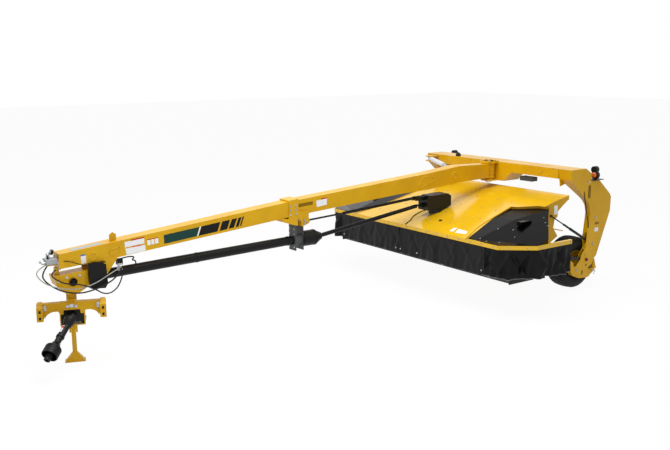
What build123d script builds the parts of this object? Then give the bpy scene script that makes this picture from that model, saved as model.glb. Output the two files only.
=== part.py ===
from build123d import *
from math import cos, radians, sin
import os

# A trailed mower conditioner with a centre-pivot tongue, in millimetres.
# X is across the machine, -Y points ahead to the hitch, Z is up and the ground is Z = 0.
# Lengths along the machine are given by ahead(), from the front face of the portal beam.

# Place of the portal
PORTAL_BACK = 3190


def ahead(distance):
    """The Y of a point that lies this far ahead of the portal beam's front face."""
    return PORTAL_BACK - distance


def side_points(table):
    """The sketch points on a YZ plane of rows (distance ahead, height)."""
    return [(ahead(distance), height) for distance, height in table]


def save(piece, name):
    """Label a finished piece and write it as its own STEP file."""
    piece.part.label = name
    export_step(piece.part, f"parts/{name}.step")


def save_pair(piece, name):
    """Write a piece of the left side, and its mirror image for the right side."""
    save(piece, f"{name}_left")
    with BuildPart() as other:
        mirror(piece.part, about=Plane.YZ)
    save(other, f"{name}_right")


def save_both(piece, name):
    """Write a piece of the left side together with its mirror image."""
    with BuildPart() as both:
        add(piece.part)
        mirror(piece.part, about=Plane.YZ)
    save(both, name)


# Clearances
FIT = 0.05
SEAT = 0.3
PIN_GAP = 1.0
CROSS_PIN = 12

# Wheels
WHEEL_X = 1313
WHEEL_BACK = 342
TYRE_RADIUS = 393.5
TYRE_WIDTH = 334
RIM_RADIUS = 190.5
RIM_WIDTH = 240
RIM_WALL = 6
HUB_RADIUS = 62
AXLE_RADIUS = 30

# Portal
BEAM_TOP = 1837
BEAM_DEPTH = 147
BEAM_WIDTH = 342
BEAM_CENTRE_DEPTH = 297
BEAM_CENTRE_HALF = 240
BEAM_STEP = 150
LEG_INNER = 1309
LEG_OUTER = 1549
FORK_PLATE = 22
FORK_HALF = 125

# Tongue
PIVOT_AHEAD = 92
PIVOT_PIN_RADIUS = 32
BOSS_RADIUS = 92
TONGUE_HALF = 100
NECK_HALF = 62
TONGUE_REAR_END = 185
SPLICE_AHEAD = 3880
SPLICE_TOP = BEAM_TOP - 243
TONGUE_FRONT_DEPTH = 206
NOSE_TOP = (7012, 1304)
NOSE_UNDER = (7022, 1133)
NOSE_BEND = (6334, 1174)

# Drive along the tongue
DRIVE_RADIUS = 60
DRIVE_FRONT = (6700, 968.5)
DRIVE_REAR = (3835, 1041)
CONE_END = 3370
SHAFT_RADIUS = 29
SHAFT_GAP = 39

# Swivel hitch
SWIVEL_AHEAD = 6873
SWIVEL_TURN = 70
HITCH_TOP = 827
CROSSBAR_AHEAD = 65
CROSSBAR_THICK = 70
CROSSBAR_HALF = 380
ROLL_HEIGHT = 705
OUTPUT_HEIGHT = 580
OUTPUT_RADIUS = 38
PTO_JOINT = 165
PTO_YAW = -29
PTO_PITCH = 30
PTO_LENGTH = 650
LINK_PIN_RADIUS = 14.35

# Stand
STAND_PIN_HEIGHT = 398
STAND_FOOT_LENGTH = 230
STAND_FOOT_WIDTH = 120
STAND_TUBE = 50

# Header
HEADER_HALF = 2174
LIP_HALF = HEADER_HALF - 334
LIP_AHEAD = 1798
CORNER_AHEAD = 1400
SIDE_REAR = 663
LIP_HEIGHT = 952
LIP_STRIP = 56
LIP_TOP = LIP_HEIGHT + LIP_STRIP
DECK_SLOPE = 0.26
DECK_HALF = 1500
RAIL_REAR = 700
SHEET = 6
CURTAIN_DROP = 392
CURTAIN_THICK = 8

# Cutterbar and rotors
DISC_COUNT = 8
DISC_PITCH = 455
DISC_AHEAD = 1440
BAR_BOTTOM = LIP_HEIGHT - 500
BAR_THICK = 58
DISC_LONG = 205
DISC_SHORT = 150
KNIFE_REACH = 262
ROTOR_AHEAD = 850
ROTOR_HEIGHT = LIP_HEIGHT - 182
ROTOR_HALF = 1440
ROTOR_CORE = 95
ROTOR_REACH = 265

# Conditioner walls and rear hood
WALL_OUTER = 1496
WALL_THICK = 12
HOOD_FOLD = 300
HOOD_REAR = -45
HOOD_EDGE = LIP_HEIGHT + 512

# Header links: their pins on the legs, and the way from there to the pins on the header
LOWER_LINK_PIN = (-224, 312)
UPPER_LINK_PIN = (-436, 450)
LINK_RUN = 910
LINK_RISE = LIP_HEIGHT - 460 - LOWER_LINK_PIN[1]
LINK_X = 1503
LINK_THICK = 29
LINK_EYE = 32
LINK_PIVOT_RADIUS = 15

# Float struts
STRUT_X = 1515.5
STRUT_FOOT = (-485, 731)
STRUT_HEAD = (360, LIP_HEIGHT + 248)
STRUT_STEP = 472
STRUT_GLAND = 644

# Guide rod over the header shaft
GUIDE_REAR = (1640, LIP_HEIGHT + 451)
GUIDE_STEP = (2969, LIP_HEIGHT + 365)
GUIDE_FRONT = (3538, SPLICE_TOP - 306)
GUIDE_GAP = 28

# Swing cylinder, as (X, distance ahead, height) of its pins
SWING_BASE = (-1320, 150, BEAM_TOP - 65)
SWING_PIN = (-158, 750, BEAM_TOP - 81)
SWING_GLAND = 0.66

# Swivel gearbox on the header
HEAD_AHEAD = 1220
HEAD_JOINT = (1580, LIP_HEIGHT + 328)
HEAD_BASE = LIP_HEIGHT + 244

# Places worked out from the sizes above
WHEEL_Y = ahead(-WHEEL_BACK)
AXLE_END = WHEEL_X - 110
strut_from = Vector(STRUT_X, ahead(STRUT_FOOT[0]), STRUT_FOOT[1])
strut_to = Vector(STRUT_X, ahead(STRUT_HEAD[0]), STRUT_HEAD[1])
strut_way = (strut_to - strut_from).normalized()
strut_step = strut_from + strut_way * STRUT_STEP
strut_gland = strut_from + strut_way * STRUT_GLAND
swing_from = Vector(SWING_BASE[0], ahead(SWING_BASE[1]), SWING_BASE[2])
swing_to = Vector(SWING_PIN[0], ahead(SWING_PIN[1]), SWING_PIN[2])
swing_run = swing_to - swing_from
swing_gland = swing_from + swing_run * SWING_GLAND
swing_way = swing_run.normalized()

os.makedirs("parts", exist_ok=True)


def drum(start, end, radius, mode=Mode.ADD):
    """A round bar between two points, inside the open part."""
    run = Vector(*end) - Vector(*start)
    with BuildSketch(Plane(origin=start, z_dir=run)) as section:
        Circle(radius)
    extrude(section.sketch, amount=run.length, mode=mode)


def cone(start, end, radius_start, radius_end, mode=Mode.ADD):
    """A tapered round bar between two points, inside the open part."""
    run = Vector(*end) - Vector(*start)
    with BuildSketch(Plane(origin=start, z_dir=run)) as first:
        Circle(radius_start)
    with BuildSketch(Plane(origin=end, z_dir=run)) as last:
        Circle(radius_end)
    loft([first.sketch.face(), last.sketch.face()], mode=mode)


def side_plate(table, x_from, x_to, mode=Mode.ADD):
    """A plate whose outline is a table of (distance ahead, height), between two X."""
    with BuildSketch(Plane.YZ.offset(x_from)) as outline:
        with BuildLine():
            Polyline(*side_points(table), close=True)
        make_face()
    extrude(outline.sketch, amount=x_to - x_from, mode=mode)


def block(low, high, mode=Mode.ADD):
    """A box between its lowest and highest corners, inside the open part."""
    with BuildSketch(Plane.XY.offset(low[2])) as base:
        with Locations(((low[0] + high[0]) / 2, (low[1] + high[1]) / 2)):
            Rectangle(high[0] - low[0], high[1] - low[1])
    extrude(base.sketch, amount=high[2] - low[2], mode=mode)


def joint_pin(joint, axis, mode=Mode.ADD):
    """The cross pin of a drive joint, through both ears of its fork."""
    drum(joint - axis * 30, joint + axis * 30, CROSS_PIN + (FIT if mode == Mode.SUBTRACT else 0), mode=mode)


def joint_fork(joint, way, axis):
    """Two ears round a cross pin, and the arms that carry them on the shaft."""
    for side in (-1, 1):
        drum(joint + axis * (side * 18), joint + axis * (side * 28), 18)
        drum(joint + axis * (side * 23), joint + axis * (side * 23) + way * 45, 5)
    joint_pin(joint, axis, mode=Mode.SUBTRACT)


# Portal: a deep beam over the header, forked at its middle for the tongue
BEAM_UNDER = BEAM_TOP - BEAM_DEPTH
FORK_UNDER = BEAM_TOP - BEAM_CENTRE_DEPTH
with BuildPart() as portal_beam:
    with BuildSketch(Plane.XZ.offset(-ahead(0))):
        with BuildLine():
            Polyline(
                (-LEG_INNER, BEAM_TOP),
                (-LEG_INNER, BEAM_UNDER),
                (-BEAM_CENTRE_HALF - BEAM_STEP, BEAM_UNDER),
                (-BEAM_CENTRE_HALF, FORK_UNDER),
                (BEAM_CENTRE_HALF, FORK_UNDER),
                (BEAM_CENTRE_HALF + BEAM_STEP, BEAM_UNDER),
                (LEG_INNER, BEAM_UNDER),
                (LEG_INNER, BEAM_TOP),
                close=True,
            )
        make_face()
    extrude(amount=-BEAM_WIDTH)
    for height in (FORK_UNDER, BEAM_TOP - FORK_PLATE):
        with BuildSketch(Plane.XY.offset(height)) as fork:
            with Locations((0, ahead(PIVOT_AHEAD / 2 - 10))):
                Rectangle(2 * FORK_HALF, PIVOT_AHEAD + 20)
            with Locations((0, ahead(PIVOT_AHEAD))):
                Circle(FORK_HALF)
        extrude(fork.sketch, amount=FORK_PLATE)
    drum(
        (0, ahead(PIVOT_AHEAD), FORK_UNDER),
        (0, ahead(PIVOT_AHEAD), BEAM_TOP),
        PIVOT_PIN_RADIUS,
        mode=Mode.SUBTRACT,
    )
    for height in (-46, 28):
        block(
            (SWING_BASE[0] - 60, swing_from.Y - 45, swing_from.Z + height),
            (SWING_BASE[0] + 60, ahead(0), swing_from.Z + height + 18),
        )
    drum((swing_from + Vector(0, 0, -46)), (swing_from + Vector(0, 0, 46)), 16)
save(portal_beam, "portal_beam")

# King pin with its head plate on the fork and a nut below
with BuildPart() as king_pin:
    drum(
        (0, ahead(PIVOT_AHEAD), FORK_UNDER - 24),
        (0, ahead(PIVOT_AHEAD), BEAM_TOP + 14),
        PIVOT_PIN_RADIUS,
    )
    with BuildSketch(Plane.XY.offset(BEAM_TOP)):
        with Locations((0, ahead(PIVOT_AHEAD))):
            Rectangle(230, 200)
            with PolarLocations(70, 4, 45):
                Circle(11, mode=Mode.SUBTRACT)
    extrude(amount=14)
    drum(
        (0, ahead(PIVOT_AHEAD), FORK_UNDER - 24),
        (0, ahead(PIVOT_AHEAD), FORK_UNDER),
        48,
    )
save(king_pin, "king_pin")

# Legs: deep bowed boxes, wide at the beam and narrow beside the tyre
LEG_SIDE = [
    (0, BEAM_TOP),
    (-343, BEAM_TOP),
    (-470, BEAM_TOP - 82),
    (-470, BEAM_TOP - 187),
    (-650, BEAM_TOP - 187),
    (-756, BEAM_TOP - 275),
    (-934, BEAM_TOP - 428),
    (-964, BEAM_TOP - 475),
    (-957, 1152),
    (-675, 485),
    (-610, 438),
    (-582, 364),
    (-484, 312),
    (-489, 240),
    (-545, 185),
    (-479, 167),
    (-292, 180),
    (-139, 243),
    (-94, 294),
    (-80, 482),
    (-141, 440),
    (-162, 377),
    (-190, 366),
    (-241, 405),
    (-312, 470),
    (-325, 523),
    (-355, 563),
    (-417, 632),
    (-431, 773),
    (-463, 999),
    (-484, 1160),
    (-458, 1271),
    (-403, 1341),
    (-332, 1402),
    (-208, BEAM_TOP - 316),
    (-26, BEAM_TOP - 152),
]
LEG_FOOT_X = 1486
FOOT_PLATE = 10
with BuildPart() as leg:
    side_plate(LEG_SIDE, LEG_INNER, LEG_OUTER)
    # The inner side draws out towards the foot, to pass beside the tyre
    with BuildSketch(Plane.XZ.offset(-ahead(0))):
        with BuildLine():
            Polyline(
                (LEG_INNER - 10, BEAM_TOP - 137),
                (LEG_INNER, BEAM_TOP - 137),
                (1380, BEAM_TOP - 277),
                (1455, 1400),
                (1462, 800),
                (1470, 740),
                (LEG_FOOT_X, 690),
                (LEG_FOOT_X, 100),
                (LEG_INNER - 10, 100),
                close=True,
            )
        make_face()
    extrude(amount=-1000, mode=Mode.SUBTRACT)
    # Channels for the links in the foot and for the strut above it
    side_plate(
        [(-60, 130), (-60, 620), (-395, 620), (-500, 520), (-500, 395), (-400, 310), (-300, 240), (-270, 130)],
        LEG_FOOT_X + FOOT_PLATE,
        LEG_OUTER - FOOT_PLATE,
        mode=Mode.SUBTRACT,
    )
    side_plate([(-380, 700), (-380, 860), (-470, 860), (-530, 780), (-530, 700)], 1490, 1541, mode=Mode.SUBTRACT)
    # Stub axle
    drum((LEG_FOOT_X + 4, WHEEL_Y, TYRE_RADIUS), (AXLE_END, WHEEL_Y, TYRE_RADIUS), AXLE_RADIUS)
    # Pins of the header links and of the float strut
    for distance, height in (LOWER_LINK_PIN, UPPER_LINK_PIN):
        drum((LEG_FOOT_X, ahead(distance), height), (LEG_OUTER + 6, ahead(distance), height), LINK_PIVOT_RADIUS)
    drum((LEG_FOOT_X, strut_from.Y, strut_from.Z), (LEG_OUTER + 6, strut_from.Y, strut_from.Z), 8)
    # Gusset under the beam, and the tail bracket with its rubber stop behind the foot
    side_plate(
        [(-20, BEAM_TOP - 147), (-250, BEAM_TOP - 147), (-250, BEAM_TOP - 200), (-40, BEAM_TOP - 262)],
        LEG_INNER + 10,
        LEG_INNER + 22,
    )
    side_plate([(-480, 300), (-640, 292), (-694, 252), (-560, 185), (-480, 200)], 1515, 1527)
    cone((1521, ahead(-660), 292), (1521, ahead(-640), 430), 38, 22)
    side_plate([(-560, 292), (-690, 292), (-690, 278), (-560, 278)], 1492, 1546)
save_pair(leg, "portal_leg")

# Wheels: a pressed disc in a drop-centre rim, and the tyre round it
WHEEL_AXIS = Axis((0, WHEEL_Y, TYRE_RADIUS), (1, 0, 0))


def wheel_points(table):
    """Sketch points of rows (distance from the wheel's middle plane, radius)."""
    return [(WHEEL_X + across, TYRE_RADIUS + radius) for across, radius in table]


with BuildPart() as rim:
    with BuildSketch(Plane.XZ.offset(-WHEEL_Y)):
        with BuildLine():
            Polyline(
                *wheel_points(
                    [
                        (-RIM_WIDTH / 2, RIM_RADIUS),
                        (RIM_WIDTH / 2, RIM_RADIUS),
                        (RIM_WIDTH / 2, RIM_RADIUS - RIM_WALL),
                        (26, RIM_RADIUS - RIM_WALL - 14),
                        (26, 110),
                        (46, 95),
                        (46, HUB_RADIUS),
                        (70, HUB_RADIUS),
                        (70, AXLE_RADIUS + FIT),
                        (-100, AXLE_RADIUS + FIT),
                        (-100, HUB_RADIUS),
                        (36, HUB_RADIUS),
                        (36, 88),
                        (14, 104),
                        (14, RIM_RADIUS - RIM_WALL - 14),
                        (-RIM_WIDTH / 2, RIM_RADIUS - RIM_WALL),
                    ]
                ),
                close=True,
            )
        make_face()
    revolve(axis=WHEEL_AXIS)
save_pair(rim, "wheel_rim")

HALF = TYRE_WIDTH / 2
with BuildPart() as tyre:
    with BuildSketch(Plane.XZ.offset(-WHEEL_Y)):
        with BuildLine():
            bead_in, bulge_in, shoulder_in, crown, shoulder_out, bulge_out, bead_out = wheel_points(
                [
                    (-RIM_WIDTH / 2, RIM_RADIUS + SEAT),
                    (-HALF, 285),
                    (-HALF + 32, 378),
                    (0, TYRE_RADIUS),
                    (HALF - 32, 378),
                    (HALF, 285),
                    (RIM_WIDTH / 2, RIM_RADIUS + SEAT),
                ]
            )
            ThreePointArc(bead_in, bulge_in, shoulder_in)
            ThreePointArc(shoulder_in, crown, shoulder_out)
            ThreePointArc(shoulder_out, bulge_out, bead_out)
            Line(bead_out, bead_in)
        make_face()
    revolve(axis=WHEEL_AXIS)
save_pair(tyre, "tyre")

# Tongue, rear length: a deep box that bends down over the header
BOSS_LOW = FORK_UNDER + FORK_PLATE + 6
BOSS_HIGH = BEAM_TOP - FORK_PLATE - 6
PIVOT_Y = ahead(PIVOT_AHEAD)
with BuildPart() as tongue_rear:
    side_plate(
        [
            (TONGUE_REAR_END, BEAM_TOP - 29),
            (826, BEAM_TOP - 9),
            (1436, BEAM_TOP - 69),
            (SPLICE_AHEAD, SPLICE_TOP),
            (SPLICE_AHEAD, SPLICE_TOP - TONGUE_FRONT_DEPTH),
            (2017, BEAM_TOP - 328),
            (1500, BEAM_TOP - 315),
            (814, BEAM_TOP - 258),
            (TONGUE_REAR_END, BEAM_TOP - 247),
        ],
        -TONGUE_HALF,
        TONGUE_HALF,
    )
    block(
        (-NECK_HALF, ahead(TONGUE_REAR_END), BOSS_LOW + 20),
        (NECK_HALF, PIVOT_Y, BOSS_HIGH - 14),
    )
    drum((0, PIVOT_Y, BOSS_LOW), (0, PIVOT_Y, BOSS_HIGH), BOSS_RADIUS)
    for height in (-48, 32):
        block(
            (swing_to.X - 45, swing_to.Y - 45, swing_to.Z + height),
            (-TONGUE_HALF, swing_to.Y + 45, swing_to.Z + height + 16),
        )
    drum(
        (0, PIVOT_Y, BOSS_LOW),
        (0, PIVOT_Y, BOSS_HIGH),
        PIVOT_PIN_RADIUS + FIT,
        mode=Mode.SUBTRACT,
    )
save(tongue_rear, "tongue_rear")

# Upper hitch gearbox: a housing slung below the nose of the tongue
HOUSING_HALF = 92
with BuildPart() as upper_gearbox:
    side_plate(
        [
            (7086, 1055),
            (6600, 1083),
            (6600, 1040),
            (6640, 990),
            (6700, 880),
            (6800, HITCH_TOP),
            (6950, HITCH_TOP),
            (7057, 940),
        ],
        -HOUSING_HALF,
        HOUSING_HALF,
    )
    drum((-HOUSING_HALF - 14, ahead(6871), 962), (HOUSING_HALF + 14, ahead(6871), 962), 46)
save(upper_gearbox, "upper_gearbox")

# Tongue, front length: a lighter tapered box, with a post and gussets down to the gearbox
with BuildPart() as tongue_front:
    side_plate(
        [
            (SPLICE_AHEAD, SPLICE_TOP),
            NOSE_TOP,
            NOSE_UNDER,
            NOSE_BEND,
            (SPLICE_AHEAD, SPLICE_TOP - TONGUE_FRONT_DEPTH),
        ],
        -TONGUE_HALF,
        TONGUE_HALF,
    )
    block((-40, ahead(7044), 1040), (40, ahead(7006), 1134))
    for side in (-1, 1):
        edge = sorted((side * (HOUSING_HALF + SEAT), side * (TONGUE_HALF + 4)))
        side_plate(
            [(6700, 1190), (6334, 1190), (6334, NOSE_BEND[1]), (6492, 964), (6560, 964), (6640, 1010), (6700, 1080)],
            *edge,
        )
    add(upper_gearbox.part, mode=Mode.SUBTRACT)
    # Lug on top of the tongue
    side_plate([(6390, 1340), (6390, 1440), (6350, 1466), (6310, 1440), (6310, 1340)], 12, 28)
save(tongue_front, "tongue_front")

# Splice: bolted flanges round the joint of the two lengths, a tray and a bracket below
SPLICE_WALL = 16
SPLICE_SIDE = [
    (3950, 13),
    (3800, 28),
    (3800, -142),
    (3760, -147),
    (3634, -157),
    (3636, -327),
    (3737, -358),
    (3752, -354),
    (3752, -294),
    (3780, -249),
    (3812, -242),
    (3812, -336),
    (3836, -336),
    (4053, -264),
    (4061, -215),
    (3950, -236),
]
with BuildPart() as tongue_splice:
    side_plate(
        [(distance, SPLICE_TOP + rise) for distance, rise in SPLICE_SIDE],
        -TONGUE_HALF - SPLICE_WALL,
        TONGUE_HALF + SPLICE_WALL,
    )
    add(tongue_rear.part, mode=Mode.SUBTRACT)
    add(tongue_front.part, mode=Mode.SUBTRACT)
    block(
        (-36, ahead(3660), GUIDE_FRONT[1] - 26),
        (36, ahead(GUIDE_FRONT[0] + GUIDE_GAP), GUIDE_FRONT[1] + 26),
    )
save(tongue_splice, "tongue_splice")

# Guard tube of the long drive shaft, under the tongue
with BuildPart() as drive_tube:
    drum(
        (0, ahead(DRIVE_FRONT[0]), DRIVE_FRONT[1]),
        (0, ahead(DRIVE_REAR[0]), DRIVE_REAR[1]),
        DRIVE_RADIUS,
    )
    add(upper_gearbox.part, mode=Mode.SUBTRACT)
save(drive_tube, "drive_tube")

# Middle bearing in its round guard, on a pair of hanger plates
GUARD_RADIUS = 106
HANGER_FRONT = 3832
HANGER_REAR = 3714
HANGER_PLATE = 14
BEARING_HEIGHT = 1042
with BuildPart() as middle_bearing:
    drum((0, ahead(HANGER_REAR - HANGER_PLATE), BEARING_HEIGHT), (0, ahead(3475), BEARING_HEIGHT), GUARD_RADIUS)
    cone((0, ahead(3475), BEARING_HEIGHT), (0, ahead(CONE_END), BEARING_HEIGHT + 4), GUARD_RADIUS - 6, 50)
save(middle_bearing, "middle_bearing")

with BuildPart() as bearing_hanger:
    for distance in (HANGER_FRONT, HANGER_REAR):
        block((-80, ahead(distance), 905), (80, ahead(distance - HANGER_PLATE), SPLICE_TOP - 270))
    drum(
        (0, ahead(HANGER_FRONT - HANGER_PLATE), BEARING_HEIGHT),
        (0, ahead(HANGER_REAR), BEARING_HEIGHT),
        76,
    )
    add(tongue_splice.part, mode=Mode.SUBTRACT)
save(bearing_hanger, "bearing_hanger")

# Swing cylinder between the right half of the beam and the tongue
with BuildPart() as swing_barrel:
    drum((swing_from + swing_way * 90), swing_gland, 38)
    drum(swing_from, swing_from + swing_way * 90, 20)
    drum((swing_from + Vector(0, 0, -24)), (swing_from + Vector(0, 0, 24)), 36)
    drum(
        (swing_gland - swing_way * 500),
        swing_gland,
        20 + FIT,
        mode=Mode.SUBTRACT,
    )
    drum(
        (swing_from + Vector(0, 0, -40)),
        (swing_from + Vector(0, 0, 40)),
        16 + FIT,
        mode=Mode.SUBTRACT,
    )
save(swing_barrel, "swing_barrel")

with BuildPart() as swing_rod:
    drum((swing_gland - swing_way * 120), (swing_to - swing_way * 26), 20)
    drum((swing_to + Vector(0, 0, -20)), (swing_to + Vector(0, 0, 20)), 34)
save(swing_rod, "swing_rod")

# Joint of the power take-off shaft, and the way the shaft hangs from it
SWIVEL_Y = ahead(SWIVEL_AHEAD)
pto_joint = Vector(0, SWIVEL_Y - PTO_JOINT, OUTPUT_HEIGHT)
pto_axis = Vector(cos(radians(PTO_YAW)), sin(radians(PTO_YAW)), 0)
pto_way = Vector(
    sin(radians(PTO_YAW)) * cos(radians(PTO_PITCH)),
    -cos(radians(PTO_YAW)) * cos(radians(PTO_PITCH)),
    -sin(radians(PTO_PITCH)),
)

# Swivel hitch, modelled facing straight ahead and turned to where it stands
SWIVEL_AXIS = Axis((0, SWIVEL_Y, 0), (0, 0, 1))


def save_turned(piece, name):
    """Turn a piece of the hitch about the swivel axis and write it."""
    with BuildPart() as turned:
        add(piece.part.rotate(SWIVEL_AXIS, SWIVEL_TURN))
    save(turned, name)


CROSS_REAR = SWIVEL_Y - CROSSBAR_AHEAD
CROSS_FRONT = CROSS_REAR - CROSSBAR_THICK
with BuildPart() as hitch_frame:
    drum((0, SWIVEL_Y, 690), (0, SWIVEL_Y, HITCH_TOP - SEAT), 58)
    block((-140, CROSS_REAR + 6, 660), (140, SWIVEL_Y + 130, 690))
    for side in (-1, 1):
        edge = sorted((side * 140, side * 128))
        block((edge[0], CROSS_REAR + 6, 440), (edge[1], SWIVEL_Y + 130, 660))
    block((-128, CROSS_REAR + 6, 440), (128, SWIVEL_Y + 130, 452))
    drum((0, CROSS_FRONT - 12, ROLL_HEIGHT), (0, SWIVEL_Y - 40, ROLL_HEIGHT), 16)
    drum((0, CROSS_REAR + 5, ROLL_HEIGHT), (0, SWIVEL_Y - 40, ROLL_HEIGHT), 38)
    # Socket of the stand
    for side in (-1, 1):
        edge = sorted((side * 46, side * (STAND_TUBE / 2 + 3)))
        block((edge[0], SWIVEL_Y - 40, 350), (edge[1], SWIVEL_Y + 10, 452))
    drum((-46, SWIVEL_Y - 15, STAND_PIN_HEIGHT), (46, SWIVEL_Y - 15, STAND_PIN_HEIGHT), 9)
save_turned(hitch_frame, "hitch_frame")

with BuildPart() as lower_gearbox:
    block((-95, SWIVEL_Y - 50, 480), (95, SWIVEL_Y + 90, 660))
    drum((0, SWIVEL_Y - 50, OUTPUT_HEIGHT), (0, SWIVEL_Y - PTO_JOINT + 34, OUTPUT_HEIGHT), OUTPUT_RADIUS)
    drum((0, SWIVEL_Y - 50, OUTPUT_HEIGHT), pto_joint, 7)
    joint_pin(pto_joint, pto_axis)
save_turned(lower_gearbox, "lower_gearbox")

with BuildPart() as hitch_crossbar:
    with BuildSketch(Plane.XZ.offset(-CROSS_REAR)):
        with BuildLine():
            Polyline(
                (-CROSSBAR_HALF, 740),
                (-60, 740),
                (-40, 760),
                (40, 760),
                (60, 740),
                (CROSSBAR_HALF, 740),
                (CROSSBAR_HALF, 560),
                (CROSSBAR_HALF - 70, 560),
                (CROSSBAR_HALF - 110, 640),
                (150, 640),
                (125, 600),
                (96, 600),
                (90, 650),
                (-90, 650),
                (-96, 600),
                (-125, 600),
                (-150, 640),
                (-CROSSBAR_HALF + 110, 640),
                (-CROSSBAR_HALF + 70, 560),
                (-CROSSBAR_HALF, 560),
                close=True,
            )
        make_face()
    extrude(amount=CROSSBAR_THICK)
    for side in (-1, 1):
        edge = sorted((side * CROSSBAR_HALF, side * (CROSSBAR_HALF - 70)))
        block((edge[0], CROSS_FRONT - 60, 550), (edge[1], CROSS_FRONT, 700))
        drum(
            (edge[0], CROSS_FRONT - 28, 612),
            (edge[1], CROSS_FRONT - 28, 612),
            LINK_PIN_RADIUS,
            mode=Mode.SUBTRACT,
        )
    drum(
        (0, CROSS_FRONT, ROLL_HEIGHT),
        (0, CROSS_REAR, ROLL_HEIGHT),
        16 + FIT,
        mode=Mode.SUBTRACT,
    )
save_turned(hitch_crossbar, "hitch_crossbar")

# Stand under the hitch frame, folding back about its pin
with BuildPart() as stand_leg:
    block(
        (-STAND_TUBE / 2, SWIVEL_Y - 15 - STAND_TUBE / 2, 60),
        (STAND_TUBE / 2, SWIVEL_Y - 15 + STAND_TUBE / 2, 425),
    )
    with BuildSketch(Plane.XY.offset(8)):
        with Locations((0, SWIVEL_Y - 15)):
            Rectangle(STAND_FOOT_LENGTH - 20, STAND_FOOT_WIDTH - 20)
    with BuildSketch(Plane.XY.offset(110)):
        with Locations((0, SWIVEL_Y - 15)):
            Rectangle(STAND_TUBE, STAND_TUBE)
    loft()
    block(
        (-STAND_FOOT_LENGTH / 2, SWIVEL_Y - 15 - STAND_FOOT_WIDTH / 2, 0),
        (STAND_FOOT_LENGTH / 2, SWIVEL_Y - 15 + STAND_FOOT_WIDTH / 2, 8),
    )
    drum(
        (-50, SWIVEL_Y - 15, STAND_PIN_HEIGHT),
        (50, SWIVEL_Y - 15, STAND_PIN_HEIGHT),
        9 + FIT,
        mode=Mode.SUBTRACT,
    )
save_turned(stand_leg, "stand_leg")

# Front half of the power take-off shaft, hanging from its joint


def along_pto(distance):
    """A point on the axis of the power take-off shaft."""
    return (pto_joint + pto_way * distance)


with BuildPart() as pto_shaft:
    drum(along_pto(38), along_pto(PTO_LENGTH - 60), 32)
    joint_fork(pto_joint, pto_way, pto_axis)
    cone(along_pto(40), along_pto(150), 70, 42)
    cone(along_pto(400), along_pto(475), 42, 100)
    drum(along_pto(475), along_pto(600), 104)
    drum(along_pto(490), along_pto(600), 96, mode=Mode.SUBTRACT)
    drum(along_pto(480), along_pto(PTO_LENGTH), 36)
    drum(along_pto(PTO_LENGTH - 60), along_pto(PTO_LENGTH), 17.5, mode=Mode.SUBTRACT)
save_turned(pto_shaft, "pto_shaft")

# Header: the sheets over the cutterbar
LIP_INNER = LIP_AHEAD - SHEET
SHIELD_SEAT = 5
SHIELD_SKIN = 10
SHIELD_OUTER = HEADER_HALF - 14
SHIELD_PLAN = [
    (1268, LIP_AHEAD - 10),
    (LIP_HALF - 4, LIP_AHEAD - 10),
    (SHIELD_OUTER, CORNER_AHEAD),
    (SHIELD_OUTER - 10, 1160),
    (1576, 501),
    (1405, 508),
    (1033, 674),
    (1074, 1072),
]


def deck_top(distance):
    """The height of the deck's upper face at a distance ahead."""
    return LIP_TOP + (LIP_AHEAD - distance) * DECK_SLOPE


def facet(drop, *corners):
    """The plane through three rows (X, distance ahead, height), lowered by a drop, facing up."""
    first, second, third = [Vector(x, ahead(distance), height - drop) for x, distance, height in corners]
    across = (second - first).cross(third - first)
    if across.Z < 0:
        across = across * -1
    return Plane(origin=first, x_dir=second - first, z_dir=across)


def shield_body(drop):
    """The left end of the header up to the facets of its shield, lowered by a drop."""
    front = facet(
        drop,
        (1268, 1790, deck_top(1790) - SHIELD_SEAT),
        (1074, 1072, deck_top(1072) - SHIELD_SEAT),
        (1490, 1166, deck_top(1166) - SHIELD_SEAT),
    )
    top = facet(
        drop,
        (1074, 1072, deck_top(1072) - SHIELD_SEAT),
        (1420, 1000, deck_top(1000) - SHIELD_SEAT),
        (1576, 501, deck_top(501) - 26),
    )
    outer = facet(
        drop,
        (1408, 1685, deck_top(1685) - SHIELD_SEAT),
        (1576, 501, deck_top(501) - 26),
        (SHIELD_OUTER - 10, 1160, LIP_TOP + 62),
    )
    with BuildPart() as body:
        with BuildSketch(Plane.XY.offset(LIP_TOP - 60)):
            with BuildLine():
                Polyline(*[(x, ahead(distance)) for x, distance in SHIELD_PLAN], close=True)
            make_face()
        extrude(amount=460)
        for plane in (front, top, outer):
            with BuildSketch(plane) as above:
                Rectangle(9000, 9000)
            extrude(above.sketch, amount=3000, mode=Mode.SUBTRACT)
    return body.part


def shield_hole(low):
    """The space over one end of the header, from a height up, where the shield goes."""
    with BuildPart() as hole:
        with BuildSketch(Plane.XY.offset(low)) as plan:
            with BuildLine():
                Polyline(*[(x, ahead(distance)) for x, distance in SHIELD_PLAN], close=True)
            make_face()
            offset(amount=1)
        extrude(amount=600)
    return hole.part


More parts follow.
